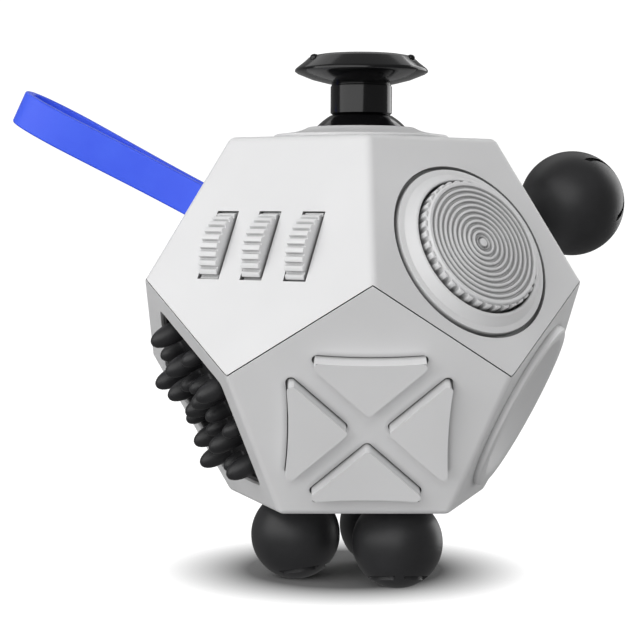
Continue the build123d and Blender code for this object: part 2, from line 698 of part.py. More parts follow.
# --- worry stone ----------------------------------------------------------------------------
with BuildPart() as worry_stone:
    extrude(discs(face_plane("stone"), STONE_R), amount=STONE_TOP)
    fillet(worry_stone.edges().sort_by(Axis(CENTRE, face_plane("stone").z_dir))[-1], STONE_SOFT)
    extrude(discs(face_plane("stone"), STONE_PLUG_R), amount=-WALL)
    with Locations(face_plane("stone", STONE_TOP + STONE_DISH_R - STONE_DISH)):
        Sphere(STONE_DISH_R, mode=Mode.SUBTRACT)

with BuildPart() as stone_backplate:
    plate("stone")

# --- ball feet ------------------------------------------------------------------------------
feet = {}
for i, (u, v) in enumerate(FOOT_POINTS, start=1):
    with BuildPart() as foot:
        ball = face_plane("feet", FOOT_RISE, u, v)
        with Locations(ball):
            Sphere(FOOT_R)
        split(bisect_by=face_plane("feet", FOOT_RISE + FOOT_FLAT, u, v), keep=Keep.BOTTOM)
        extrude(discs(ball, FOOT_PIN_R + RUNNING), amount=-FOOT_R, mode=Mode.SUBTRACT)
        extrude(discs(ball, FOOT_HEAD_R + HEAD_PLAY), amount=FOOT_HEAD_T + 0.3, mode=Mode.SUBTRACT)
    feet[f"ball_foot_{i}"] = foot.part

with BuildPart() as foot_pins:
    extrude(discs(face_plane("feet", -FOOT_PIN_DEPTH), FOOT_PIN_R, FOOT_POINTS),
            amount=FOOT_PIN_DEPTH + FOOT_RISE)
    extrude(discs(face_plane("feet", FOOT_RISE + CLEARANCE), FOOT_HEAD_R, FOOT_POINTS),
            amount=FOOT_HEAD_T)
    extrude(discs(face_plane("feet", FOOT_RISE), FOOT_PIN_R, FOOT_POINTS), amount=2 * CLEARANCE)

with BuildPart() as foot_plate:
    plate("feet")
    extrude(discs(face_plane("feet"), FOOT_PIN_R, FOOT_POINTS), amount=-FOOT_PIN_DEPTH,
            mode=Mode.SUBTRACT)

with BuildPart() as foot_clips:
    clip_face = face_plane("feet", -PLATE_TOP - PLATE_T)
    extrude(discs(clip_face, FOOT_CLIP_R, FOOT_POINTS), amount=-CLIP_T)
    extrude(discs(clip_face, FOOT_PIN_R, FOOT_POINTS), amount=-CLIP_T, mode=Mode.SUBTRACT)

# --- swivel ball ----------------------------------------------------------------------------
with BuildPart() as swivel_ball:
    with Locations(face_plane("swivel", SWIVEL_RISE)):
        Sphere(SWIVEL_R)
    extrude(discs(face_plane("swivel", SWIVEL_RISE), NECK_R + RUNNING), amount=-SWIVEL_R,
            mode=Mode.SUBTRACT)
    extrude(discs(face_plane("swivel", SWIVEL_RISE), SWIVEL_HEAD_R + HEAD_PLAY),
            amount=SWIVEL_HEAD_T + 0.4,
            mode=Mode.SUBTRACT)

with BuildPart() as swivel_stem:
    extrude(discs(face_plane("swivel", -NECK_DEPTH), NECK_R), amount=NECK_DEPTH + SWIVEL_RISE + 0.3)
    extrude(discs(face_plane("swivel", SWIVEL_RISE + HEAD_PLAY), SWIVEL_HEAD_R),
            amount=SWIVEL_HEAD_T)

with BuildPart() as swivel_collar:
    extrude(ring(face_plane("swivel"), NECK_COLLAR_R, NECK_R), amount=NECK_COLLAR_H)
    fillet(swivel_collar.edges().filter_by(GeomType.CIRCLE).sort_by(SortBy.RADIUS)[-2:], 0.3)

with BuildPart() as swivel_plate:
    plate("swivel")
    extrude(discs(face_plane("swivel"), NECK_R), amount=-NECK_DEPTH, mode=Mode.SUBTRACT)

with BuildPart() as swivel_nut:
    with BuildSketch(face_plane("swivel", -PLATE_TOP - PLATE_T)):
        RegularPolygon(NUT_R, 6)
        Circle(NECK_R, mode=Mode.SUBTRACT)
    extrude(amount=-NUT_T)

# --- strap ----------------------------------------------------------------------------------
with BuildPart() as strap_loop:
    extrude(strap_profile(0) - strap_profile(STRAP_T), amount=STRAP_W / 2, both=True)

with BuildPart() as strap_pin:
    extrude(discs(along_plane("strap", -STRAP_PIN_DEPTH, 0, STRAP_V), STRAP_PIN_R),
            amount=STRAP_W / 2 + SEAT_T, both=True)

with BuildPart() as strap_anchor:
    plate("strap")
    pin_plane = along_plane("strap", -STRAP_PIN_DEPTH, 0, STRAP_V)
    extrude(block(pin_plane, STRAP_SEAT, STRAP_SEAT), amount=STRAP_W / 2 + SEAT_T, both=True)
    extrude(block(pin_plane, 2 * STRAP_SLOT_HALF, 1.5 * STRAP_SEAT),
            amount=STRAP_W / 2 + SEAT_GAP, both=True, mode=Mode.SUBTRACT)
    extrude(discs(pin_plane, STRAP_PIN_R), amount=STRAP_W / 2 + SEAT_T, both=True,
            mode=Mode.SUBTRACT)
    split(bisect_by=face_plane("strap", -PLATE_TOP), keep=Keep.BOTTOM)

# --- rocker switch --------------------------------------------------------------------------
with BuildPart() as rocker:
    with BuildSketch(across_plane("rocker", -ROCKER_PIN_DEPTH, 0, 0)):
        with BuildLine():
            Polyline((-ROCKER_L / 2, ROCKER_LOW), (ROCKER_L / 2, ROCKER_LOW),
                     (ROCKER_L / 2 - ROCKER_LEAN, ROCKER_END), (0, ROCKER_MIDDLE),
                     (ROCKER_LEAN - ROCKER_L / 2, ROCKER_END), close=True)
        make_face()
        Circle(ROCKER_HUB_R)
        Circle(STRAP_PIN_R + RUNNING, mode=Mode.SUBTRACT)
    extrude(amount=ROCKER_W / 2, both=True)

with BuildPart() as rocker_pin:
    extrude(discs(across_plane("rocker", -ROCKER_PIN_DEPTH, 0, 0), STRAP_PIN_R),
            amount=ROCKER_W / 2 + SEAT_T, both=True)

with BuildPart() as rocker_housing:
    plate("rocker")
    well = across_plane("rocker", -ROCKER_PIN_DEPTH, 0, 0)
    extrude(block(well, *ROCKER_SEAT), amount=ROCKER_W / 2 + SEAT_T, both=True)
    extrude(block(well, ROCKER_L + 2 * ROCKER_END_GAP, 2 * ROCKER_SEAT[1]),
            amount=ROCKER_W / 2 + ROCKER_SIDE_GAP, both=True,
            mode=Mode.SUBTRACT)
    extrude(discs(well, STRAP_PIN_R), amount=ROCKER_W / 2 + SEAT_T, both=True, mode=Mode.SUBTRACT)
    split(bisect_by=face_plane("rocker", -PLATE_TOP), keep=Keep.BOTTOM)

with BuildPart() as rocker_bezel:
    with BuildSketch(face_plane("rocker")):
        RectangleRounded(*(size + 2 * FRAME_W for size in ROCKER_OPENING), 1.5)
        Rectangle(*ROCKER_OPENING, mode=Mode.SUBTRACT)
    extrude(amount=FRAME_T)

# --- rolling ball ---------------------------------------------------------------------------
with BuildPart() as rolling_ball:
    with Locations(face_plane("roller", -ROLLER_DEPTH)):
        Sphere(ROLLER_R)

with BuildPart() as roller_ring:
    extrude(discs(face_plane("roller"), ROLLER_RING_R), amount=ROLLER_RING_H)
    fillet(roller_ring.edges().sort_by(Axis(CENTRE, face_plane("roller").z_dir))[-1],
           ROLLER_RING_SOFT)
    with Locations(face_plane("roller", -ROLLER_DEPTH)):
        Sphere(ROLLER_R + ROLLER_GAP, mode=Mode.SUBTRACT)

with BuildPart() as roller_cup:
    plate("roller")
    extrude(discs(face_plane("roller", -PLATE_TOP), ROLLER_CUP_R), amount=-ROLLER_CUP_H)
    with Locations(face_plane("roller", -ROLLER_DEPTH)):
        Sphere(ROLLER_R + ROLLER_GAP, mode=Mode.SUBTRACT)

# --- slider ---------------------------------------------------------------------------------
with BuildPart() as slider_knob:
    rib_pitch, rib_width, rib_depth = SLIDER_RIB
    with BuildSketch(face_plane("slider", SLIDER_LIFT)):
        RectangleRounded(SLIDER_W, SLIDER_L, 0.8)
    extrude(amount=SLIDER_H)
    for i in range(-2, 3):
        groove_face = face_plane("slider", SLIDER_LIFT + SLIDER_H, 0, i * rib_pitch)
        extrude(block(groove_face, SLIDER_W, rib_width), amount=-rib_depth, mode=Mode.SUBTRACT)
    neck_foot = -PLATE_TOP - SLIDER_LIFT
    extrude(block(face_plane("slider", SLIDER_LIFT), SLIDER_NECK_W, SLIDER_NECK_L),
            amount=neck_foot - SLIDER_LIFT)
    extrude(block(face_plane("slider", neck_foot), SLIDER_FOOT_W, SLIDER_NECK_L),
            amount=-SLIDER_FOOT_T)

with BuildPart() as slider_bezel:
    with BuildSketch(face_plane("slider")):
        RectangleRounded(SLIDER_W + 2 * SLIDER_FRAME, SLIDER_SWEEP + 2 * SLIDER_FRAME, 1.6)
        RectangleRounded(SLIDER_W + 2 * SEAT_GAP, SLIDER_SWEEP + 2 * SEAT_GAP, 1.0,
                         mode=Mode.SUBTRACT)
    extrude(amount=FRAME_T)

with BuildPart() as slider_track:
    plate("slider")
    with BuildSketch(face_plane("slider", -PLATE_TOP)):
        Rectangle(SLIDER_WELL, SLIDER_SWEEP - 2.0)
    extrude(amount=-PLATE_T, mode=Mode.SUBTRACT)
    with BuildSketch(face_plane("slider", -PLATE_TOP - PLATE_T)):
        Rectangle(SLIDER_WELL + 2.0, SLIDER_SWEEP)
    extrude(amount=-SLIDER_FOOT_T)

# --- screws ---------------------------------------------------------------------------------
with BuildPart() as module_screws:
    for face, (depth, thickness, screws) in PLATES.items():
        under = face_plane(face, -depth - thickness)
        extrude(discs(under, SCREW_R, screws), amount=thickness + SCREW_BITE)
        extrude(discs(under, SCREW_HEAD_R, screws), amount=-SCREW_HEAD_T)

pieces = {
    "upper_shell": upper_shell.part,
    "lower_shell": lower_shell.part,
    "joystick_bezel": joystick_bezel.part,
    "thumb_cap": thumb_cap.part,
    "stick_dome": stick_dome.part,
    "gimbal_ring": gimbal_ring.part,
    "gimbal_pins": gimbal_pins.part,
    "stick_pins": stick_pins.part,
    "joystick_base": joystick_base.part,
    "centring_ring": centring_ring.part,
    "wheel_axle": wheel_axle.part,
    "wheel_carrier": wheel_carrier.part,
    "dial_knob": dial_knob.part,
    "dial_spindle": dial_spindle.part,
    "dial_base": dial_base.part,
    "dial_clip": dial_clip.part,
    "dial_bezel": dial_bezel.part,
    "button_tray": button_tray.part,
    "button_membrane": button_membrane.part,
    "nub_pad": nub_pad.part,
    "nub_backplate": nub_backplate.part,
    "worry_stone": worry_stone.part,
    "stone_backplate": stone_backplate.part,
    "foot_pins": foot_pins.part,
    "foot_plate": foot_plate.part,
    "foot_clips": foot_clips.part,
    "swivel_ball": swivel_ball.part,
    "swivel_stem": swivel_stem.part,
    "swivel_collar": swivel_collar.part,
    "swivel_plate": swivel_plate.part,
    "swivel_nut": swivel_nut.part,
    "strap_loop": strap_loop.part,
    "strap_pin": strap_pin.part,
    "strap_anchor": strap_anchor.part,
    "rocker": rocker.part,
    "rocker_pin": rocker_pin.part,
    "rocker_housing": rocker_housing.part,
    "rocker_bezel": rocker_bezel.part,
    "rolling_ball": rolling_ball.part,
    "roller_ring": roller_ring.part,
    "roller_cup": roller_cup.part,
    "slider_knob": slider_knob.part,
    "slider_bezel": slider_bezel.part,
    "slider_track": slider_track.part,
    "module_screws": module_screws.part,
}
pieces.update(wheels)
pieces.update(buttons)
pieces.update(feet)

os.makedirs("parts", exist_ok=True)
for name, piece in pieces.items():
    piece.label = name
    export_step(piece, f"parts/{name}.step")
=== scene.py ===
"""Twelve-sided fidget toy: the looks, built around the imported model."""

from __future__ import annotations

import json
import logging
import math
from dataclasses import dataclass
from enum import Enum
from typing import Sequence

import bmesh
import bpy
from mathutils import Matrix, Vector

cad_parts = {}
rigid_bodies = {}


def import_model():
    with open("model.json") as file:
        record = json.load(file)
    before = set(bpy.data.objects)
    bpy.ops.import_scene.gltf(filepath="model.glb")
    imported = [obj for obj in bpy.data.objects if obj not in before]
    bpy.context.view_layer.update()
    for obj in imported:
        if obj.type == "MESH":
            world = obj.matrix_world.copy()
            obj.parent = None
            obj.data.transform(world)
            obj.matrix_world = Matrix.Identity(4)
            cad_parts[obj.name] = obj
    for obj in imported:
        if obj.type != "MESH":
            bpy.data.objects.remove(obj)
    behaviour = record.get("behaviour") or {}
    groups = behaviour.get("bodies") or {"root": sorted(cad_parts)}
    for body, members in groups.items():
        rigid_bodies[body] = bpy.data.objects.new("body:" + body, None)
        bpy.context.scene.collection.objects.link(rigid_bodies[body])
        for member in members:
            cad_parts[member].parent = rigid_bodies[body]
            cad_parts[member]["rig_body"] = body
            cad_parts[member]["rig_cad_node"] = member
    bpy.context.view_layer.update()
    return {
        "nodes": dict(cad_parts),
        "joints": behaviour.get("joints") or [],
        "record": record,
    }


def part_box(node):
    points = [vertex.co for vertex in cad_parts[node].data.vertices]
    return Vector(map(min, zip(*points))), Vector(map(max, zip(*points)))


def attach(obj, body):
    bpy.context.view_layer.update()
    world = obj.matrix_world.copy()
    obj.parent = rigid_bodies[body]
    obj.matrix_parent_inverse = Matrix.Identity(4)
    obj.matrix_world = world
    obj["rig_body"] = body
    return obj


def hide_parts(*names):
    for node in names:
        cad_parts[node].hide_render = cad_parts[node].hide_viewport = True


LOG = logging.getLogger("fidget_toy")
MM = 0.001
Point2 = tuple[float, float]
Profile = Sequence[Point2]
Piece = bpy.types.Object

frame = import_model()


# --- shader maths -------------------------------------------------------------------------


class Signal:
    """A shader socket that takes part in ordinary arithmetic."""

    def __init__(self, tree: bpy.types.NodeTree, socket: bpy.types.NodeSocket) -> None:
        """Wraps an output socket of a tree."""
        self.tree = tree
        self.socket = socket

    def _math(self, operation: str, first: object, second: object = None) -> Signal:
        """Adds a Math node.

        Args:
            operation: the node's operation.
            first: a number or a Signal.
            second: a number, a Signal or nothing.

        Returns:
            The node's result.
        """
        node = self.tree.nodes.new("ShaderNodeMath")
        node.operation = operation
        for index, value in enumerate((first, second)):
            if isinstance(value, Signal):
                self.tree.links.new(value.socket, node.inputs[index])
            elif value is not None:
                node.inputs[index].default_value = value
        return Signal(self.tree, node.outputs[0])

    def __add__(self, other: object) -> Signal:
        """Sum."""
        return self._math("ADD", self, other)

    def __radd__(self, other: object) -> Signal:
        """Sum, the other way round."""
        return self._math("ADD", other, self)

    def __sub__(self, other: object) -> Signal:
        """Difference."""
        return self._math("SUBTRACT", self, other)

    def __rsub__(self, other: object) -> Signal:
        """Difference, the other way round."""
        return self._math("SUBTRACT", other, self)

    def __mul__(self, other: object) -> Signal:
        """Product."""
        return self._math("MULTIPLY", self, other)

    def __rmul__(self, other: object) -> Signal:
        """Product, the other way round."""
        return self._math("MULTIPLY", other, self)

    def above(self, level: float, width: float) -> Signal:
        """Soft step from 0 to 1.

        Args:
            level: where the step starts.
            width: how far it takes.

        Returns:
            The step, held between 0 and 1.
        """
        step = (self - level) * (1.0 / width)
        return self._math("MINIMUM", self._math("MAXIMUM", step, 0.0), 1.0)


class Shader:
    """The node tree of one material while it is written."""

    def __init__(self, name: str) -> None:
        """Starts a material with only an output and a Principled shader."""
        self.material = bpy.data.materials.new(name)
        self.material.use_nodes = True
        self.tree = self.material.node_tree
        self.tree.nodes.clear()
        output = self.tree.nodes.new("ShaderNodeOutputMaterial")
        self.surface = self.tree.nodes.new("ShaderNodeBsdfPrincipled")
        self.tree.links.new(self.surface.outputs[0], output.inputs["Surface"])
        self.place = self.node("ShaderNodeTexCoord").outputs["Object"]

    def node(
        self, kind: str, settings: dict | None = None, **sockets: object
    ) -> bpy.types.Node:
        """Adds any node.

        Args:
            kind: the node's type.
            settings: attributes, set before the sockets.
            sockets: value, Signal or output socket per input, spaces written as underscores.

        Returns:
            The node.
        """
        made = self.tree.nodes.new(kind)
        for key, value in (settings or {}).items():
            setattr(made, key, value)
        for key, value in sockets.items():
            self._feed(made.inputs[key.replace("_", " ")], value)
        return made

    def _feed(self, target: bpy.types.NodeSocket, value: object) -> None:
        """Sets or links one input."""
        if isinstance(value, Signal):
            self.tree.links.new(value.socket, target)
        elif isinstance(value, bpy.types.NodeSocket):
            self.tree.links.new(value, target)
        else:
            target.default_value = value

    def noise(
        self, scale: float, detail: float = 3.0, stretch: Sequence[float] = (1, 1, 1)
    ) -> Signal:
        """Noise on the object's own coordinates.

        Args:
            scale: lumps per metre.
            detail: octaves.
            stretch: factor on each axis.

        Returns:
            Noise from 0 to 1.
        """
        where = self.node("ShaderNodeMapping", Vector=self.place, Scale=stretch)
        made = self.node("ShaderNodeTexNoise", Vector=where.outputs[0], Scale=scale, Detail=detail)
        return Signal(self.tree, made.outputs["Fac"])

    def blend(self, factor: Signal, first: tuple, second: tuple) -> bpy.types.NodeSocket:
        """Colour between two colours."""
        mix = self.node("ShaderNodeMix", {"data_type": "RGBA"})
        self.tree.links.new(factor.socket, mix.inputs[0])
        mix.inputs[6].default_value = (*first, 1.0)
        mix.inputs[7].default_value = (*second, 1.0)
        return mix.outputs[2]

    def openness(self, reach: float) -> Signal:
        """How open the surface is to its surroundings, from 0 in a crevice to 1; it drives painted
        shade.

        Args:
            reach: how far off another surface still counts, in metres.

        Returns:
            The openness.
        """
        made = self.node("ShaderNodeAmbientOcclusion", {"samples": 8}, Distance=reach)
        return Signal(self.tree, made.outputs["AO"])

    def bump(self, height: Signal, depth: float, strength: float = 1.0) -> None:
        """Raises the surface by a height signal.

        Args:
            height: 0 to 1.
            depth: metres for a height of 1.
            strength: share of the effect.
        """
        made = self.node("ShaderNodeBump", Height=height, Distance=depth, Strength=strength)
        self.tree.links.new(made.outputs[0], self.surface.inputs["Normal"])

    def set(self, **sockets: object) -> None:
        """Sets the Principled shader's inputs, spaces written as underscores."""
        for key, value in sockets.items():
            self._feed(self.surface.inputs[key.replace("_", " ")], value)


# --- finishes -----------------------------------------------------------------------------


@dataclass(frozen=True)
class Plastic:
    """Moulded plastic with a fine spark-eroded grain, and shade painted into its crevices."""

    name: str
    colour: tuple[float, float, float]
    shade: float = 0.3
    crevice: float = 0.0012
    roughness: float = 0.42
    coat: float = 0.0
    ior: float = 1.5
    grain: float = 9000.0
    grain_depth: float = 0.000004

    def material(self) -> bpy.types.Material:
        """Makes the material."""
        shader = Shader(self.name)
        cloud = shader.noise(70.0, 2.0).above(0.3, 0.4)
        grain = shader.noise(self.grain, 2.0)
        # Painted shade: where ambient occlusion finds a crevice, the base colour darkens towards
        # the colour times shade.
        unshaded = shader.openness(self.crevice).above(0.25, 0.62)
        painted_shade_colour = tuple(c * self.shade for c in self.colour)
        shader.set(
            Base_Color=shader.blend(unshaded * (0.93 + 0.07 * cloud), painted_shade_colour, self.colour),
            Roughness=self.roughness - 0.04 + 0.05 * cloud + 0.06 * grain,
            IOR=self.ior,
            Coat_Weight=self.coat,
            Coat_Roughness=0.12,
        )
        shader.bump(grain, self.grain_depth, 0.6)
        return shader.material


@dataclass(frozen=True)
class Rubber:
    """Moulded rubber or silicone with a soft sheen and a little dust in its grain."""

    name: str
    colour: tuple[float, float, float]
    bloom: tuple[float, float, float]
    roughness: float = 0.45
    sheen: float = 0.0
    grain: float = 7000.0

    def material(self) -> bpy.types.Material:
        """Makes the material."""
        shader = Shader(self.name)
        cloud = shader.noise(240.0, 3.0).above(0.35, 0.4)
        grain = shader.noise(self.grain, 3.0)
        shader.set(
            Base_Color=shader.blend(cloud * 0.6 + grain * 0.3, self.colour, self.bloom),
            Roughness=self.roughness - 0.05 + 0.07 * cloud + 0.08 * grain,
            IOR=1.45,
            Sheen_Weight=self.sheen,
            Sheen_Roughness=0.5,
        )
        shader.bump(grain, 0.000006, 0.7)
        return shader.material


@dataclass(frozen=True)
class Steel:
    """Turned or ground steel with fine scratches round it."""

    name: str
    colour: tuple[float, float, float]
    roughness: float = 0.28

    def material(self) -> bpy.types.Material:
        """Makes the material."""
        shader = Shader(self.name)
        scratch = shader.noise(2600.0, 4.0, (1.0, 1.0, 9.0))
        cloud = shader.noise(300.0, 2.0)
        bright = tuple(min(1.0, c * 1.12) for c in self.colour)
        shader.set(
            Base_Color=shader.blend(cloud, self.colour, bright),
            Metallic=1.0,
            Roughness=self.roughness - 0.06 + 0.16 * scratch,
        )
        shader.bump(scratch, 0.000002, 0.5)
        return shader.material


class Finish(Enum):
    """The finishes of the toy, each with the record's slot name as its key."""

    WHITE = Plastic("white_plastic", (0.80, 0.80, 0.805))
    INNER = Plastic("grey_plastic", (0.36, 0.37, 0.39), roughness=0.55)
    GLOSS = Plastic("black_plastic", (0.005, 0.005, 0.0055), 0.5, roughness=0.12, ior=1.42,
                    grain=5000.0, grain_depth=0.0000015)
    RUBBER = Rubber("black_rubber", (0.015, 0.015, 0.016), (0.026, 0.026, 0.028), 0.42)
    SILICONE = Rubber("blue_silicone", (0.035, 0.10, 0.90), (0.05, 0.13, 0.95), 0.42, 0.1)
    STEEL = Steel("steel", (0.52, 0.52, 0.53))


class Paintbox:
    """Makes each finish's material once."""

    def __init__(self) -> None:
        """Starts empty."""
        self._made: dict[str, bpy.types.Material] = {}

    def of(self, finish: Finish) -> bpy.types.Material:
        """The material of a finish."""
        key = finish.value.name
        if key not in self._made:
            self._made[key] = finish.value.material()
        return self._made[key]

    def by_slot(self, slot: str) -> bpy.types.Material:
        """The material of one of the record's slots."""
        return self.of(next(f for f in Finish if f.value.name == slot))


# --- places on the case -------------------------------------------------------------------

SLOPE = math.degrees(math.atan(0.5))


def toward(azimuth: float, elevation: float) -> Vector:
    """Unit vector with an azimuth and an elevation, in degrees."""
    around, rise = math.radians(azimuth), math.radians(elevation)
    flat = math.cos(rise)
    return Vector((math.cos(around) * flat, math.sin(around) * flat, math.sin(rise)))


class Face(Enum):
    """The twelve faces: azimuth and elevation of each outward normal, in degrees."""

    JOYSTICK = (-90.0, 90.0)
    WHEELS = (-126.0, SLOPE)
    DIAL = (-54.0, SLOPE)
    SWIVEL = (18.0, SLOPE)
    ROCKER = (90.0, SLOPE)
    STRAP = (162.0, SLOPE)
    BUTTONS = (-90.0, -SLOPE)
    STONE = (-18.0, -SLOPE)
    ROLLER = (54.0, -SLOPE)
    SLIDER = (126.0, -SLOPE)
    NUBS = (-162.0, -SLOPE)
    FEET = (-90.0, -90.0)


class Case:
    """The twelve-sided case as a set of planes, read from the frame."""

    def __init__(self) -> None:
        """Reads the case's size from the two shells."""
        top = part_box("upper_shell")[1].z
        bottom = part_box("lower_shell")[0].z
        self.inradius = (top - bottom) / 2 / MM
        self.centre = Vector((0, 0, (top + bottom) / 2)) / MM

    def matrix(self, face: Face, height: float = 0.0, u: float = 0.0, v: float = 0.0) -> Matrix:
        """Place on a face, in millimetres.

        Args:
            face: which face.
            height: distance outside the face.
            u: to the right, seen from outside.
            v: up the slope.

        Returns:
            A matrix whose z axis is the outward normal, x to the right and y up the slope.
        """
        normal = toward(*face.value)
        azimuth = math.radians(face.value[0])
        across = Vector((-math.sin(azimuth), math.cos(azimuth), 0))
        up = normal.cross(across)
        origin = self.centre + normal * (self.inradius + height) + across * u + up * v
        turn = Matrix((across, up, normal)).transposed().to_4x4()
        return Matrix.Translation(origin) @ turn


# --- outlines -----------------------------------------------------------------------------


def arc(centre: Point2, radius: float, start: float, end: float, steps: int) -> list[Point2]:
    """Points along an arc, angles in degrees, both ends included."""
    points = []
    for i in range(steps + 1):
        angle = math.radians(start + (end - start) * i / steps)
        points.append((centre[0] + radius * math.cos(angle), centre[1] + radius * math.sin(angle)))
    return points


def rounded(corners: Profile, radius: float, steps: int = 5) -> list[Point2]:
    """Closed outline with each sharp corner rounded.

    Args:
        corners: corner points, counterclockwise.
        radius: corner radius.
        steps: segments in each rounded corner.

    Returns:
        The outline's points.
    """
    result: list[Point2] = []
    count = len(corners)
    for i, corner in enumerate(corners):
        here = Vector(corner)
        back = (Vector(corners[i - 1]) - here).normalized()
        ahead = (Vector(corners[(i + 1) % count]) - here).normalized()
        opening = back.angle(ahead)
        if opening > math.radians(165):
            result.append(corner)
            continue
        reach = radius / math.tan(opening / 2)
        middle = here + (back + ahead).normalized() * (radius / math.sin(opening / 2))
        first = here + back * reach - middle
        last = here + ahead * reach - middle
        for step in range(steps + 1):
            spoke = first.lerp(last, step / steps).normalized() * radius
            result.append(tuple(middle + spoke))
    return result


def box_outline(width: float, length: float, radius: float) -> list[Point2]:
    """Round-cornered rectangle."""
    x, y = width / 2, length / 2
    return rounded([(-x, -y), (x, -y), (x, y), (-x, y)], radius)


def pentagon_outline(radius: float, corner: float, start: float) -> list[Point2]:
    """Round-cornered pentagon with one corner at an angle in degrees."""
    spots = [start + 72 * i for i in range(5)]
    tips = [(radius * math.cos(math.radians(a)), radius * math.sin(math.radians(a)))
            for a in spots]
    return rounded(tips, corner)


def toothed_outline(radius: float, teeth: int, depth: float, land: float) -> list[Point2]:
    """Wheel outline with flat-topped teeth.

    Args:
        radius: tip radius.
        teeth: how many.
        depth: tooth depth.
        land: share of the pitch that is tip.

    Returns:
        The outline's points.
    """
    points: list[Point2] = []
    pitch = math.tau / teeth
    for i in range(teeth):
        for share, size in ((-land / 2, radius), (0, radius), (land / 2, radius),
                            (land / 2 + 0.1, radius - depth), (0.9 - land / 2, radius - depth)):
            angle = (i + share) * pitch
            points.append((size * math.cos(angle), size * math.sin(angle)))
    return points


# --- modelling by hand --------------------------------------------------------------------


class Bench:
    """Modelling moves, in millimetres round the origin; `seat` then puts a piece in its place."""

    @staticmethod
    def deselect() -> None:
        """Leaves edit mode and deselects everything."""
        if bpy.context.object and bpy.context.object.mode != "OBJECT":
            bpy.ops.object.mode_set(mode="OBJECT")
        bpy.ops.object.select_all(action="DESELECT")

    @staticmethod
    def only(piece: Piece) -> None:
        """Selects one piece and makes it active."""
        Bench.deselect()
        piece.select_set(True)
        bpy.context.view_layer.objects.active = piece

    @staticmethod
    def _started(name: str) -> Piece:
        """Names the primitive just added, fixes its place and enters edit mode, all selected."""
        bpy.ops.object.transform_apply(location=True, rotation=True, scale=True)
        piece = bpy.context.object
        piece.name = name
        piece.data.name = name
        bpy.ops.object.mode_set(mode="EDIT")
        bpy.ops.mesh.select_all(action="SELECT")
        return piece

    @staticmethod
    def _done() -> None:
        """Merges doubles, turns the faces outward and leaves edit mode."""
        bpy.ops.mesh.select_all(action="SELECT")
        bpy.ops.mesh.remove_doubles(threshold=1e-4)
        bpy.ops.mesh.normals_make_consistent(inside=False)
        bpy.ops.object.mode_set(mode="OBJECT")

    @staticmethod
    def turn(name: str, profile: Profile, segments: int = 96, closed: bool = False) -> Piece:
        """Turns a piece on the z axis by extruding and resizing a ring.

        Args:
            name: the piece's name.
            profile: (radius, height) points; a closed profile makes a ring, an open one a solid.
            segments: segments round the axis.
            closed: whether the profile runs back to its first point.

        Returns:
            The piece.
        """
        Bench.deselect()
        radius, height = profile[0]
        fill = "NOTHING" if closed else "NGON"
        bpy.ops.mesh.primitive_circle_add(
            vertices=segments, radius=radius, fill_type=fill, location=(0, 0, height)
        )
        piece = Bench._started(name)
        steps = list(profile[1:]) + ([profile[0]] if closed else [])
        for next_radius, next_height in steps:
            bpy.ops.mesh.extrude_region_move(
                TRANSFORM_OT_translate={"value": (0, 0, next_height - height)}
            )
            factor = next_radius / radius
            bpy.ops.transform.resize(
                value=(factor, factor, 1), center_override=(0, 0, next_height)
            )
            radius, height = next_radius, next_height
        Bench._done()
        return piece

    @staticmethod
    def _trace(name: str, outline: Profile, height: float) -> Piece:
        """Draws a closed outline at a height by extruding one vertex along it."""
        Bench.deselect()
        bpy.ops.mesh.primitive_plane_add(size=0.01, location=(*outline[0], height))
        piece = Bench._started(name)
        bpy.ops.mesh.merge(type="CENTER")
        here = Vector(outline[0])
        for point in outline[1:]:
            step = Vector(point) - here
            bpy.ops.mesh.extrude_region_move(TRANSFORM_OT_translate={"value": (*step, 0)})
            here = Vector(point)
        bpy.ops.mesh.select_all(action="DESELECT")
        mesh = bmesh.from_edit_mesh(piece.data)
        for vert in mesh.verts:
            vert.select = len(vert.link_edges) == 1
        mesh.select_flush(True)
        bmesh.update_edit_mesh(piece.data)
        bpy.ops.mesh.edge_face_add()
        bpy.ops.mesh.select_all(action="SELECT")
        return piece

    @staticmethod
    def prism(name: str, outline: Profile, low: float, high: float) -> Piece:
        """Raises a closed outline into a solid between two heights."""
        piece = Bench._trace(name, outline, low)
        bpy.ops.mesh.edge_face_add()
        bpy.ops.mesh.extrude_region_move(TRANSFORM_OT_translate={"value": (0, 0, high - low)})
        Bench._done()
        return piece

    @staticmethod
    def collar(name: str, outer: Profile, inner: Profile, low: float, high: float) -> Piece:
        """Raises the band between two outlines into a solid."""
        piece = Bench.prism(name, outer, low, high)
        hole = Bench.prism(name + "_hole", inner, low - 1, high + 1)
        return Bench.carve(piece, hole)

    @staticmethod
    def apply(piece: Piece, kind: str, **settings: object) -> Piece:
        """Adds a modifier, sets it and applies it."""
        Bench.only(piece)
        modifier = piece.modifiers.new(kind.lower(), kind)
        for key, value in settings.items():
            setattr(modifier, key, value)
        bpy.ops.object.modifier_apply(modifier=modifier.name)
        return piece

    @staticmethod
    def soften(piece: Piece, width: float, segments: int = 3, angle: float = 30.0) -> Piece:
        """Rounds the edges that are sharper than an angle."""
        Bench.apply(
            piece, "BEVEL", width=width, segments=segments, limit_method="ANGLE",
            angle_limit=math.radians(angle), use_clamp_overlap=True, miter_outer="MITER_ARC",
        )
        return piece

    @staticmethod
    def carve(piece: Piece, cutter: Piece) -> Piece:
        """Cuts one solid with another, which is used up."""
        Bench.apply(piece, "BOOLEAN", operation="DIFFERENCE", object=cutter, solver="EXACT")
        bpy.data.objects.remove(cutter)
        return piece

    @staticmethod
    def copy(piece: Piece, name: str, matrix: Matrix) -> Piece:
        """A copy with its own mesh, moved by a matrix."""
        twin = piece.copy()
        twin.data = piece.data.copy()
        twin.name = name
        bpy.context.scene.collection.objects.link(twin)
        return Bench.move(twin, matrix)

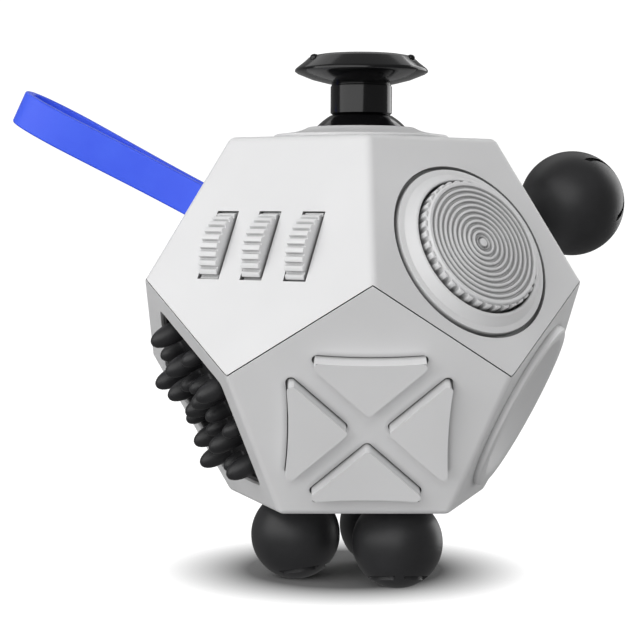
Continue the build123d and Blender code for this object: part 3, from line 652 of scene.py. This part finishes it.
    @staticmethod
    def move(piece: Piece, matrix: Matrix) -> Piece:
        """Moves a piece by a matrix, with the place in its mesh."""
        Bench.only(piece)
        piece.matrix_world = matrix
        bpy.context.view_layer.update()
        bpy.ops.object.transform_apply(location=True, rotation=True, scale=True)
        return piece

    @staticmethod
    def join(pieces: Sequence[Piece]) -> Piece:
        """Joins pieces into the first one."""
        Bench.deselect()
        for piece in pieces:
            piece.select_set(True)
        bpy.context.view_layer.objects.active = pieces[0]
        bpy.ops.object.join()
        return pieces[0]

    @staticmethod
    def smooth(piece: Piece, angle: float = 35.0, weighted: bool = True) -> None:
        """Smooth shading up to an angle, with flat sides kept flat."""
        Bench.only(piece)
        bpy.ops.object.shade_smooth_by_angle(angle=math.radians(angle))
        if weighted:
            Bench.apply(piece, "WEIGHTED_NORMAL", keep_sharp=True, weight=50)

    @staticmethod
    def seat(piece: Piece, matrix: Matrix) -> Piece:
        """Puts a piece in its place, from millimetres to metres."""
        return Bench.move(piece, Matrix.Scale(MM, 4) @ matrix)


# --- sub-assemblies -----------------------------------------------------------------------


@dataclass
class Assembly:
    """What every sub-assembly shares: the case's planes and the materials."""

    case: Case
    paints: Paintbox

    def fit(
        self, piece: Piece, matrix: Matrix, body: str, nodes: Sequence[str],
        finish: Finish, angle: float = 35.0,
    ) -> Piece:
        """Seats, shades, paints and attaches one finished piece.

        Args:
            piece: the piece, in millimetres round the origin.
            matrix: its place.
            body: the body that it rides on.
            nodes: the CAD nodes that it stands for.
            finish: its material.
            angle: smooth shading up to this angle.

        Returns:
            The piece.
        """
        Bench.seat(piece, matrix)
        Bench.smooth(piece, angle)
        piece.data.materials.clear()
        piece.data.materials.append(self.paints.of(finish))
        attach(piece, body)
        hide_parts(*nodes)
        LOG.info("%s on %s, %d faces", piece.name, body, len(piece.data.polygons))
        return piece

    def fit_copy(
        self, blank: Piece, matrix: Matrix, body: str, node: str, finish: Finish,
        angle: float = 35.0,
    ) -> Piece:
        """Fits a copy of a blank for one CAD node, named after it.

        Args:
            blank: the piece that is copied.
            matrix: the copy's place.
            body: the body that it rides on.
            node: the CAD node that it stands for.
            finish: its material.
            angle: smooth shading up to this angle.

        Returns:
            The copy.
        """
        twin = Bench.copy(blank, node + "_moulding", Matrix.Identity(4))
        return self.fit(twin, matrix, body, [node], finish, angle)


@dataclass
class Shells(Assembly):
    """The two case halves, with their moulded edges shaded smoothly."""

    seam_reach: float = 0.5
    seam_round: float = 0.3
    seam_sharpness: float = 40.0

    def build(self) -> None:
        """Merges a copy of each half, rounds its seam and shades it."""
        for node in ("upper_shell", "lower_shell"):
            source = frame["nodes"][node]
            half = source.copy()
            half.data = source.data.copy()
            half.name = node + "_moulding"
            half.parent = None
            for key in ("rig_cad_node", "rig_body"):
                if key in half:
                    del half[key]
            bpy.context.scene.collection.objects.link(half)
            Bench.only(half)
            bpy.ops.object.mode_set(mode="EDIT")
            bpy.ops.mesh.select_all(action="SELECT")
            bpy.ops.mesh.remove_doubles(threshold=1e-7)
            bpy.ops.mesh.customdata_custom_splitnormals_clear()
            bpy.ops.mesh.dissolve_limited(angle_limit=math.radians(0.3))
            bpy.ops.mesh.select_all(action="DESELECT")
            bpy.ops.object.mode_set(mode="OBJECT")
            self._round_seam(half.data)
            self.fit(half, Matrix.Scale(1 / MM, 4), "case", [node], Finish.WHITE, 30)

    def _round_seam(self, mesh: bpy.types.Mesh) -> None:
        """Rounds the outer edges where the two halves meet, as far as the shortest edge allows."""
        middle = self.case.centre * MM
        normals = [self.case.matrix(face).col[2].xyz for face in Face]
        sides = ([n for n in normals if n.z > 0], [n for n in normals if n.z < 0])
        limit = (self.case.inradius - self.seam_reach) * MM
        near = [all(max((v.co - middle).dot(n) for n in side) > limit for side in sides)
                for v in mesh.vertices]
        beside: dict[tuple[int, int], list[Vector]] = {}
        for polygon in mesh.polygons:
            for key in polygon.edge_keys:
                beside.setdefault(key, []).append(polygon.normal)
        sharpness = math.radians(self.seam_sharpness)
        for edge in mesh.edges:
            faces = beside.get(edge.key, [])
            sharp = len(faces) == 2 and faces[0].angle(faces[1], 0.0) > sharpness
            edge.select = sharp and all(near[i] for i in edge.vertices)
        bpy.context.tool_settings.mesh_select_mode = (False, True, False)
        bpy.ops.object.mode_set(mode="EDIT")
        bpy.ops.mesh.bevel(
            offset=self.seam_round * MM, segments=3, affect="EDGES", clamp_overlap=True
        )
        bpy.ops.object.mode_set(mode="OBJECT")
        bpy.context.tool_settings.mesh_select_mode = (True, False, False)


@dataclass
class Joystick(Assembly):
    """Thumb cap, dome and the collar round them."""

    pivot_depth: float = 3.5
    stem_radius: float = 3.84
    stem_foot: float = 2.97
    dome_radius: float = 7.52
    cap_radius: float = 8.3
    cap_top: float = 10.65
    grips: int = 4
    grip_ring: float = 6.55
    grip_height: float = 10.0

    def build(self) -> None:
        """Builds and fits the three pieces."""
        place = self.case.matrix(Face.JOYSTICK)
        self.fit(self._cap(), place, "stick", ["thumb_cap"], Finish.GLOSS, 40)
        self.fit(self._dome(), place, "stick", ["stick_dome"], Finish.GLOSS)
        self.fit(self._collar(), place, "case", ["joystick_bezel"], Finish.WHITE)

    def _cap(self) -> Piece:
        """Mushroom cap with a bevelled top, a thin rim and small grip bumps."""
        stem, foot, rim, top = self.stem_radius, self.stem_foot, self.cap_radius, self.cap_top
        profile = [
            (stem - 0.35, foot), (stem, foot + 0.3), (stem, 6.55), (stem - 0.12, 6.7),
            (stem - 0.12, 6.85), (stem + 0.6, 7.0), (6.2, 7.45), (rim - 0.35, 8.15), (rim, 8.4),
            (rim, 8.6), (rim - 0.2, 8.85), (7.2, 9.55), (6.6, 10.1), (6.3, 10.3), (5.2, 10.5),
            (3.2, top - 0.04), (0.6, top),
        ]
        cap = Bench.turn("thumb_cap_moulding", profile, 128)
        bumps = [cap]
        for i in range(self.grips):
            angle = math.radians(25 + 130 * (i % 2) + 180 * (i // 2))
            bump = Bench.turn(f"grip_{i}", [(0.55, -0.5), (0.55, 0.0), (0.47, 0.22), (0.25, 0.36),
                                            (0.05, 0.4)], 24)
            spot = (self.grip_ring * math.cos(angle), self.grip_ring * math.sin(angle),
                    self.grip_height)
            bumps.append(Bench.move(bump, Matrix.Translation(spot)))
        return Bench.join(bumps)

    def _dome(self) -> Piece:
        """Round skirt that closes the opening at every tilt."""
        radius, drop = self.dome_radius, self.pivot_depth
        flat = math.degrees(math.asin(self.stem_radius / radius))
        skirt = math.degrees(math.acos(1.5 / radius))
        outside = [(r, h - drop) for h, r in arc((0, 0), radius, skirt, flat, 20)]
        inside = [(r, h - drop) for h, r in arc((0, 0), radius - 1.0, 16, skirt - 1, 16)]
        profile = outside + [(1.8, outside[-1][1])] + [(1.8, inside[0][1])] + inside
        return Bench.turn("stick_dome_moulding", profile, 96, closed=True)

    def _collar(self) -> Piece:
        """Low white ring with a flared lip."""
        profile = [
            (7.2, 0.0), (10.9, 0.0), (10.9, 0.3), (10.8, 0.46), (10.6, 0.55), (9.6, 0.66),
            (8.4, 0.84), (7.5, 1.08), (6.95, 1.32), (6.75, 1.44), (6.55, 1.5), (6.1, 1.5),
            (5.96, 1.45), (5.9, 1.35), (6.1, 1.0), (6.45, 0.6),
        ]
        return Bench.turn("joystick_collar", profile, 128, closed=True)


@dataclass
class ThumbWheels(Assembly):
    """Three toothed wheels side by side on one axle."""

    radius: float = 5.8
    width: float = 2.6
    teeth: int = 34
    tooth: float = 0.36
    land: float = 0.56
    bore: float = 1.05
    depth: float = 4.0
    pitch: float = 6.2
    group_u: float = -0.6
    group_v: float = -0.65

    def build(self) -> None:
        """Models one wheel and fits three copies."""
        outline = toothed_outline(self.radius, self.teeth, self.tooth, self.land)
        wheel = Bench.prism("wheel_blank", outline, -self.width / 2, self.width / 2)
        Bench.carve(wheel, Bench.turn("wheel_bore", [(self.bore, -3), (self.bore, 3)], 32))
        Bench.soften(wheel, 0.09, 2, 25)
        lay = Matrix.Rotation(math.pi / 2, 4, "Y")
        for step, (side, body) in enumerate((("left", "wheel_a"), ("middle", "wheel_b"),
                                             ("right", "wheel_c")), start=-1):
            u = self.group_u + step * self.pitch
            spin = Matrix.Rotation(math.radians(2.0 * step), 4, "X")
            place = self.case.matrix(Face.WHEELS, -self.depth, u, self.group_v) @ spin @ lay
            self.fit_copy(wheel, place, body, f"{side}_wheel", Finish.WHITE, 30)
        bpy.data.objects.remove(wheel)


@dataclass
class Dial(Assembly):
    """Ridged dial in its bezel."""

    v: float = -1.2
    radius: float = 8.2
    top: float = 2.4
    base: float = -0.6
    flutes: int = 38
    flute: float = 0.36
    land: float = 0.48
    rings: int = 10
    ring_pitch: float = 0.68

    def build(self) -> None:
        """Builds and fits the knob and the bezel."""
        place = self.case.matrix(Face.DIAL, 0, 0, self.v)
        self.fit(self._knob(), place, "dial", ["dial_knob"], Finish.WHITE, 50)
        self.fit(self._bezel(), place, "case", ["dial_bezel"], Finish.WHITE)

    def _knob(self) -> Piece:
        """Fluted rim with a ringed face on it."""
        outline = toothed_outline(self.radius, self.flutes, self.flute, self.land)
        rim = Bench.prism("dial_knob_moulding", outline, self.base, self.top - 0.35)
        Bench.soften(rim, 0.12, 2, 25)
        ridged: list[Point2] = [(7.85, 1.0), (7.85, self.top - 0.12), (7.72, self.top)]
        for i in range(self.rings, 0, -1):
            crest = 0.65 + i * self.ring_pitch
            ridged += [(crest + 0.12, self.top), (crest - 0.06, self.top - 0.04),
                       (crest - 0.16, self.top - 0.34), (crest - 0.38, self.top - 0.38),
                       (crest - 0.48, self.top - 0.06)]
        ridged += [(0.62, self.top - 0.4), (0.5, self.top - 0.05), (0.34, self.top),
                   (0.05, self.top)]
        face = Bench.turn("dial_face", ridged, 128)
        return Bench.join([rim, face])

    def _bezel(self) -> Piece:
        """Low ring that rises towards the dial."""
        profile = [
            (8.5, -0.8), (10.6, -0.8), (10.6, 0.05), (10.55, 0.18), (10.42, 0.25), (9.9, 0.25),
            (9.75, 0.3), (9.0, 1.12), (8.86, 1.25), (8.72, 1.3), (8.6, 1.28), (8.5, 1.18),
        ]
        return Bench.turn("dial_bezel_moulding", profile, 128, closed=True)


@dataclass
class CrossButtons(Assembly):
    """Four three-sided buttons round a cross."""

    v: float = -1.4
    tip: float = 2.25
    out: float = 9.6
    hollow: float = 0.4
    top: float = 1.75
    foot: float = -2.15
    corner: float = 0.55
    rim_round: float = 0.6

    def build(self) -> None:
        """Models one button and fits four turned copies."""
        half = self.out - self.tip
        sag_radius = (half**2 + self.hollow**2) / (2 * self.hollow)
        spread = math.degrees(math.asin(half / sag_radius))
        centre = (self.out - self.hollow + sag_radius, 0)
        side = arc(centre, sag_radius, 180 + spread, 180 - spread, 14)
        outline = rounded([(self.tip, 0), *side], self.corner, 6)
        button = Bench.prism("button_blank", outline, self.foot, self.top)
        Bench.soften(button, self.rim_round, 5, 50)
        for turn, name, body in (
            (0, "right_button", "button_right"), (90, "upper_button", "button_up"),
            (180, "left_button", "button_left"), (270, "lower_button", "button_down"),
        ):
            spin = Matrix.Rotation(math.radians(turn), 4, "Z")
            place = self.case.matrix(Face.BUTTONS, 0, 0, self.v) @ spin
            self.fit_copy(button, place, body, name, Finish.WHITE)
        bpy.data.objects.remove(button)


@dataclass
class NubPad(Assembly):
    """Black rubber pad with a raised rim and rounded nubs of two sizes."""

    opening: float = 12.9
    depth: float = 1.5
    base: float = -2.0
    flange: float = -2.6
    rim_wall: float = 0.84
    rim_top: float = -0.35
    big: Point2 = (1.3, 4.3)
    small: Point2 = (1.05, 3.0)
    big_rings: Point2 = (5.6, 9.7)
    small_rings: Point2 = (3.3, 8.3)

    def build(self) -> None:
        """Raises the rim and the nubs on the pad."""
        pad = Bench.prism("nub_pad_moulding", pentagon_outline(self.opening - 0.2, 1.0, 90),
                          self.base, -self.depth)
        Bench.soften(pad, 0.15, 2)
        flange = Bench.prism("nub_flange", pentagon_outline(self.opening + 0.2, 1.0, 90),
                             self.flange, self.base)
        outside = self.opening - 0.06
        rim = Bench.collar("nub_rim", pentagon_outline(outside, 1.0, 90),
                           pentagon_outline(outside - self.rim_wall, 0.8, 90),
                           -self.depth - 0.1, self.rim_top)
        pieces = [pad, flange, Bench.soften(rim, 0.1, 2)]
        kinds = (("big", self.big, [(0.0, 0.0), *self._rings(self.big_rings, 90)]),
                 ("small", self.small, self._rings(self.small_rings, 54)))
        for label, size, spots in kinds:
            nub = self._nub(label, size)
            for i, (u, v) in enumerate(spots):
                shift = Matrix.Translation((u, v, -self.depth))
                pieces.append(Bench.copy(nub, f"{label}_nub_{i}", shift))
            bpy.data.objects.remove(nub)
        place = self.case.matrix(Face.NUBS)
        self.fit(Bench.join(pieces), place, "case", ["nub_pad"], Finish.RUBBER, 50)

    @staticmethod
    def _rings(radii: Sequence[float], start: float) -> list[Point2]:
        """Rings of five places round the pad's middle."""
        return [spot for radius in radii for spot in arc((0, 0), radius, start, start + 288, 4)]

    @staticmethod
    def _nub(label: str, size: Point2) -> Piece:
        """One nub: flared foot, full shoulder and a narrower round end."""
        radius, height = size
        shape = ((1.12, -0.05), (1.12, 0.03), (1.04, 0.06), (1.0, 0.12), (1.0, 0.3), (0.98, 0.44),
                 (0.94, 0.56), (0.87, 0.68), (0.76, 0.79), (0.61, 0.88), (0.44, 0.945),
                 (0.25, 0.985), (0.04, 1.0))
        return Bench.turn(f"{label}_nub", [(radius * r, height * h) for r, h in shape], 28)


@dataclass
class WorryStone(Assembly):
    """Raised disc with a thumb dish."""

    radius: float = 11.0
    top: float = 0.9
    dish: float = 1.7
    dish_radius: float = 26.0
    plug: float = 8.9
    rings: int = 16

    def build(self) -> None:
        """Turns the disc with its dish."""
        lip = math.sqrt(self.dish_radius**2 - (self.dish_radius - self.dish) ** 2)
        profile = [(self.plug, -2.0), (self.plug, 0.0), (self.radius, 0.0), (self.radius, 0.45),
                   (self.radius - 0.13, 0.75), (self.radius - 0.45, self.top),
                   (lip + 0.3, self.top), (lip + 0.05, self.top - 0.03)]
        for i in range(1, self.rings + 1):
            r = lip * (1 - i / (self.rings + 0.5))
            sag = self.dish_radius - math.sqrt(self.dish_radius**2 - r**2)
            profile.append((r, self.top - self.dish + sag))
        stone = Bench.turn("worry_stone_moulding", profile, 128)
        self.fit(stone, self.case.matrix(Face.STONE), "case", ["worry_stone"], Finish.WHITE)


@dataclass
class Balls(Assembly):
    """The three ball feet and the swivel ball, each with moulded slits near its outer pole."""

    foot_radius: float = 5.6
    foot_flat: float = 5.4
    swivel_radius: float = 6.8
    swivel_rise: float = 10.5
    slit_angle: float = 38.2
    slit_width: float = 0.6
    slit_depth: float = 0.7
    slit_arcs: tuple[Point2, Point2] = ((8.0, 95.0), (-80.0, -8.0))
    foot_spins: tuple[float, float, float] = (-48.0, 0.0, 120.0)
    foot_plug: Point2 = (90.0, 11.0)
    swivel_plug: Point2 = (171.0, 65.4)
    swivel_gap: float = 172.5

    def build(self) -> None:
        """Builds and fits the four balls."""
        joints = {joint["name"]: joint for joint in frame["joints"]}
        foot = self._ball("foot_blank", self.foot_radius, self.foot_flat, self.foot_plug, 0.0)
        turn = self.case.matrix(Face.FEET).to_3x3().to_4x4()
        for i, angle in enumerate(self.foot_spins, start=1):
            hinge = Vector(joints[f"foot_{i}_turn"]["pos_m"]) / MM
            spin = Matrix.Rotation(math.radians(angle), 4, "Z")
            place = Matrix.Translation(hinge) @ turn @ spin
            self.fit_copy(foot, place, f"foot_{i}", f"ball_foot_{i}", Finish.RUBBER, 50)
        bpy.data.objects.remove(foot)
        ball = self._ball("swivel_ball_moulding", self.swivel_radius, self.swivel_radius,
                          self.swivel_plug, self.swivel_gap)
        place = self.case.matrix(Face.SWIVEL, self.swivel_rise)
        self.fit(ball, place, "swivel", ["swivel_ball"], Finish.RUBBER, 50)

    def _ball(self, name: str, radius: float, flat: float, aim: Point2, gap: float) -> Piece:
        """A ball with two crescent slits round a moulded plug; its outer pole is +z.

        Args:
            name: the piece's name.
            radius: the ball's radius.
            flat: height of the small flat above the centre, or the radius for none.
            aim: azimuth and polar angle of the plug, in degrees.
            gap: where the gap between the two slits lies round the plug, in degrees.

        Returns:
            The ball.
        """
        Bench.deselect()
        bpy.ops.mesh.primitive_uv_sphere_add(segments=96, ring_count=48, radius=radius)
        ball = bpy.context.object
        ball.name = name
        if flat < radius:
            bpy.ops.object.mode_set(mode="EDIT")
            bpy.ops.mesh.select_all(action="SELECT")
            bpy.ops.mesh.bisect(plane_co=(0, 0, flat), plane_no=(0, 0, 1), use_fill=True,
                                clear_outer=True)
            bpy.ops.object.mode_set(mode="OBJECT")
        around = radius * math.sin(math.radians(self.slit_angle))
        rise = radius * math.cos(math.radians(self.slit_angle))
        tilt = (Matrix.Rotation(math.radians(aim[0]), 4, "Z")
                @ Matrix.Rotation(math.radians(aim[1]), 4, "Y")
                @ Matrix.Rotation(math.radians(gap), 4, "Z"))
        for start, end in self.slit_arcs:
            outer = arc((0, 0), around + self.slit_width / 2, start, end, 18)
            inner = arc((0, 0), around - self.slit_width / 2, end - 5, start + 5, 18)
            slit = Bench.prism("slit", outer + inner, rise - self.slit_depth, rise + 1.5)
            Bench.carve(ball, Bench.move(slit, tilt))
        return ball


@dataclass
class Strap(Assembly):
    """Soft flat band in one long closed loop."""

    v: float = 3.6
    width: float = 4.5
    thickness: float = 1.0
    tip: float = 31.2
    belly: float = 3.4
    belly_at: float = 22.0
    waist: float = 1.75
    waist_at: float = 8.5
    pin_depth: float = 3.0
    eye: float = 1.65

    def build(self) -> None:
        """Draws the band's side outline and gives it its width."""
        outer = self._loop(0.0)
        inner = self._loop(self.thickness)
        band = Bench.collar("strap_band", outer, inner, -self.width / 2, self.width / 2)
        Bench.soften(band, 0.28, 3, 40)
        stand = Matrix.Rotation(math.pi / 2, 4, "X")
        place = self.case.matrix(Face.STRAP, 0, 0, self.v) @ stand
        self.fit(band, place, "strap", ["strap_loop"], Finish.SILICONE, 50)

    def _leg(self) -> list[Point2]:
        """One side of the loop from the pin to the tip, as a smooth curve through four places."""
        knots = [Vector((self.eye, -self.pin_depth)), Vector((self.waist, self.waist_at)),
                 Vector((self.belly, self.belly_at)), Vector((0, self.tip))]
        spans = [(b - a).length for a, b in zip(knots, knots[1:])]
        slopes = [Vector((0, 1)), (knots[2] - knots[0]) / (spans[0] + spans[1]),
                  Vector((0.1, 1)), Vector((-1, 0))]
        points: list[Point2] = []
        for a, b, start, end, span, steps in zip(knots, knots[1:], slopes, slopes[1:], spans,
                                                 (8, 10, 16)):
            for i in range(steps):
                t = i / steps
                spot = (a * (1 + 2 * t) * (1 - t) ** 2 + start * span * t * (1 - t) ** 2
                        + b * t * t * (3 - 2 * t) - end * span * t * t * (1 - t))
                points.append((spot.x, spot.y))
        return points

    def _loop(self, inset: float) -> list[Point2]:
        """Closed outline a given distance inside the band's outer side."""
        leg = self._leg()
        mirrored = [(-x, y) for x, y in reversed(leg)]
        eye = arc((0, -self.pin_depth), self.eye, 180, 360, 14)[1:-1]
        outline = leg + [(0.0, self.tip)] + mirrored + eye
        count = len(outline)
        moved = []
        for i, spot in enumerate(outline):
            along = Vector(outline[(i + 1) % count]) - Vector(outline[i - 1])
            inward = Vector((-along.y, along.x)).normalized()
            moved.append(tuple(Vector(spot) + inward * inset))
        return moved


@dataclass
class RearControls(Assembly):
    """Switch, rolling ball and slider on the faces behind."""

    rocker_width: float = 7.0
    rocker_length: float = 11.2
    rocker_depth: float = 2.7
    roller_radius: float = 5.0
    roller_depth: float = 2.2
    slider_size: float = 6.0
    slider_travel: float = 3.5
    rib_pitch: float = 1.1
    rim_height: float = 0.8

    def build(self) -> None:
        """Builds and fits all of them."""
        self._rocker()
        self._roller()
        self._slider()
        neck = Bench.turn("swivel_collar_moulding", [
            (2.2, 0), (4.6, 0), (4.6, 0.5), (4.5, 0.75), (4.25, 0.9), (2.6, 0.9), (2.3, 0.82),
            (2.2, 0.7)], 64, closed=True)
        self.fit(neck, self.case.matrix(Face.SWIVEL), "case", ["swivel_collar"], Finish.WHITE)

    def _rocker(self) -> None:
        """Two-way rocker with a shallow V on top, and its frame."""
        half = self.rocker_length / 2
        side = [(-half, 1.2), (-1.9, 1.2), *arc((0, 0), 2.0, 218, 322, 10), (1.9, 1.2), (half, 1.2),
                (half - 0.3, 4.4), (0, 3.3), (0.3 - half, 4.4)]
        body = Bench.prism("rocker_moulding", side, -self.rocker_width / 2, self.rocker_width / 2)
        Bench.soften(body, 0.3, 3, 25)
        stand = Matrix(((0, 0, 1, 0), (1, 0, 0, 0), (0, 1, 0, 0), (0, 0, 0, 1)))
        place = self.case.matrix(Face.ROCKER, -self.rocker_depth) @ stand
        self.fit(body, place, "switch", ["rocker"], Finish.WHITE)
        outer = box_outline(self.rocker_width + 3.8, self.rocker_length + 4.4, 1.5)
        inner = box_outline(self.rocker_width + 0.6, self.rocker_length + 1.2, 0.4)
        self._rim("rocker_frame", Face.ROCKER, "rocker_bezel", outer, inner)

    def _roller(self) -> None:
        """Polished ball and the ring that keeps it in."""
        ball = Bench.turn("rolling_ball_polished", arc((0, 0), self.roller_radius, -89.5, 89.5, 48))
        place = self.case.matrix(Face.ROLLER, -self.roller_depth)
        self.fit(ball, place, "roller", ["rolling_ball"], Finish.STEEL, 60)
        reach = self.roller_radius + 0.2
        low = math.sqrt(reach**2 - self.roller_depth**2)
        high = math.sqrt(reach**2 - (self.roller_depth + 0.8) ** 2)
        profile = [(low, 0), (8.0, 0), (8.0, 0.5), (7.88, 0.78), (7.6, 0.9), (high + 0.35, 0.9),
                   (high + 0.1, 0.86), (high, 0.78)]
        ring = Bench.turn("roller_ring_moulding", profile, 128, closed=True)
        self.fit(ring, self.case.matrix(Face.ROLLER), "case", ["roller_ring"], Finish.WHITE)

    def _slider(self) -> None:
        """Ribbed slider on its neck, and the frame of its track."""
        size = self.slider_size
        knob = Bench.prism("slider_knob_moulding", box_outline(size, size, 0.8), 0.2, 1.8)
        for i in range(-2, 3):
            slot = Bench.prism("rib_gap", box_outline(size + 2, 0.45, 0.1), 1.45, 3.0)
            Bench.carve(knob, Bench.move(slot, Matrix.Translation((0, i * self.rib_pitch, 0))))
        Bench.soften(knob, 0.14, 2, 40)
        neck = Bench.prism("slider_neck", box_outline(3.0, size - 2.2, 0.3), -2.2, 0.4)
        foot = Bench.prism("slider_foot", box_outline(5.6, size - 2.2, 0.3), -3.0, -2.2)
        piece = Bench.join([knob, neck, foot])
        self.fit(piece, self.case.matrix(Face.SLIDER), "slider", ["slider_knob"], Finish.WHITE)
        length = size + 2 * self.slider_travel
        outer = box_outline(size + 4, length + 4, 1.6)
        inner = box_outline(size + 0.6, length + 0.6, 1.0)
        self._rim("slider_frame", Face.SLIDER, "slider_bezel", outer, inner)

    def _rim(self, name: str, face: Face, node: str, outer: Profile, inner: Profile) -> None:
        """Soft-edged rim round a control."""
        rim = Bench.collar(name, outer, inner, 0, self.rim_height)
        Bench.soften(rim, 0.25, 3, 40)
        self.fit(rim, self.case.matrix(face), "case", [node], Finish.WHITE)


# --- room ---------------------------------------------------------------------------------


@dataclass(frozen=True)
class Lamp:
    """A rectangular soft box aimed at the toy."""

    name: str
    azimuth: float
    elevation: float
    distance: float
    width: float
    height: float
    power: float
    mirrored: bool = True

    def build(self, target: Vector) -> None:
        """Puts the soft box up.

        Args:
            target: the point that it faces, in metres.
        """
        data = bpy.data.lights.new(self.name, "AREA")
        data.shape = "RECTANGLE"
        data.size = self.width
        data.size_y = self.height
        data.energy = self.power
        light = bpy.data.objects.new(self.name, data)
        bpy.context.scene.collection.objects.link(light)
        away = toward(self.azimuth, self.elevation)
        light.location = target + away * self.distance
        light.rotation_euler = (-away).to_track_quat("-Z", "Y").to_euler()
        light.visible_glossy = self.mirrored


LAMPS = (
    Lamp("key", -133.0, 25.0, 0.55, 1.2, 0.5, 3.7),
    Lamp("overhead", -90.0, 88.0, 0.6, 0.7, 0.7, 0.2),
    Lamp("rear", 41.0, 15.0, 0.6, 0.4, 0.6, 1.6),
    Lamp("right", -40.0, 20.0, 0.7, 0.4, 0.4, 0.4, False),
    Lamp("lift", -95.0, -30.0, 0.7, 0.9, 0.4, 0.9, False),
    Lamp("crest", 100.0, 50.0, 0.6, 0.8, 0.3, 0.5),
)
AMBIENT = 0.22
GLOW = 1.05


@dataclass
class Studio:
    """Pale floor, soft lights and the camera."""

    camera_place: tuple[float, float, float] = (-12.037, -234.779, 45.666)
    camera_azimuth: float = -1.715
    camera_elevation: float = 3.235
    camera_roll: float = -0.303
    lens: float = 105.3
    floor_half: float = 2.0
    shade_centre: Point2 = (0.0015, -0.0046)
    shade_reach: float = 0.0125
    shade_fade: float = 0.013

    def build(self) -> None:
        """Sets up everything that isn't the toy."""
        self._floor()
        self._lights()
        self._camera()

    def _floor(self) -> None:
        """A wide pale floor that curves up into a backdrop and glows away from the toy; near the
        toy the glow is held back, which paints a shadow under it.
        """
        Bench.deselect()
        bpy.ops.mesh.primitive_plane_add(size=2 * self.floor_half, location=(0, 0, 0))
        floor = bpy.context.object
        floor.name = "floor"
        bpy.ops.object.mode_set(mode="EDIT")
        bpy.ops.mesh.select_all(action="DESELECT")
        mesh = bmesh.from_edit_mesh(floor.data)
        for edge in mesh.edges:
            edge.select = all(vert.co.y > 0 for vert in edge.verts)
        mesh.select_flush(False)
        bmesh.update_edit_mesh(floor.data)
        bpy.ops.mesh.extrude_region_move(TRANSFORM_OT_translate={"value": (0, 0, self.floor_half)})
        bpy.ops.object.mode_set(mode="OBJECT")
        Bench.soften(floor, self.floor_half / 3, 12, 60)
        Bench.smooth(floor, 40, False)
        shader = Shader("pale_floor")
        cloud = shader.noise(3.0, 2.0)
        about = shader.node(
            "ShaderNodeMapping", Vector=shader.place, Location=(*self.shade_centre, 0)
        )
        length = shader.node(
            "ShaderNodeVectorMath", {"operation": "LENGTH"}, Vector=about.outputs[0]
        )
        reach = Signal(shader.tree, length.outputs["Value"])
        # Painted shadow: no glow within shade_reach of shade_centre, rising to full glow over
        # shade_fade.
        glow = reach.above(self.shade_reach, self.shade_fade) * GLOW
        shader.set(Base_Color=shader.blend(cloud, (0.24, 0.24, 0.24), (0.25, 0.25, 0.25)),
                   Roughness=0.9, Specular_IOR_Level=0.1, Emission_Strength=1.0,
                   Emission_Color=shader.node(
                       "ShaderNodeCombineColor", Red=glow, Green=glow, Blue=glow).outputs[0])
        floor.data.materials.append(shader.material)
        floor.visible_diffuse = False
        floor.visible_glossy = False
        floor.visible_shadow = False

    @staticmethod
    def _lights() -> None:
        """Soft boxes and a dim surround."""
        for lamp in LAMPS:
            lamp.build(Vector((0, 0, 0.032)))
        world = bpy.data.worlds.new("surround")
        world.use_nodes = True
        back = world.node_tree.nodes["Background"]
        back.inputs["Color"].default_value = (1.0, 1.0, 1.0, 1.0)
        back.inputs["Strength"].default_value = AMBIENT
        bpy.context.scene.world = world
        bpy.context.scene.view_settings.view_transform = "Standard"

    def _camera(self) -> None:
        """Long lens from the front, a little above the toy's middle."""
        back = toward(self.camera_azimuth - 90, self.camera_elevation)
        data = bpy.data.cameras.new("camera")
        data.lens = self.lens
        data.clip_start = 0.01
        camera = bpy.data.objects.new("camera", data)
        bpy.context.scene.collection.objects.link(camera)
        turn = (-back).to_track_quat("-Z", "Y").to_matrix().to_4x4()
        roll = Matrix.Rotation(math.radians(-self.camera_roll), 4, "Z")
        camera.matrix_world = Matrix.Translation(Vector(self.camera_place) * MM) @ turn @ roll
        bpy.context.scene.camera = camera


def paint_frame(paints: Paintbox) -> None:
    """Gives every CAD node that is still shown its finish."""
    for entry in frame["record"]["subparts"]:
        mesh = frame["nodes"][entry["node"]].data
        mesh.materials.clear()
        mesh.materials.append(paints.by_slot(entry["material_slot"]))


def main() -> None:
    """Builds the toy and its room."""
    logging.basicConfig(level=logging.INFO, format="%(name)s: %(message)s")
    Studio().build()
    paints = Paintbox()
    case = Case()
    paint_frame(paints)
    for kind in (Shells, Joystick, ThumbWheels, Dial, CrossButtons, NubPad, WorryStone, Balls,
                 Strap, RearControls):
        kind(case, paints).build()
        LOG.info("%s done", kind.__name__)


if __name__ == "__main__":
    main()
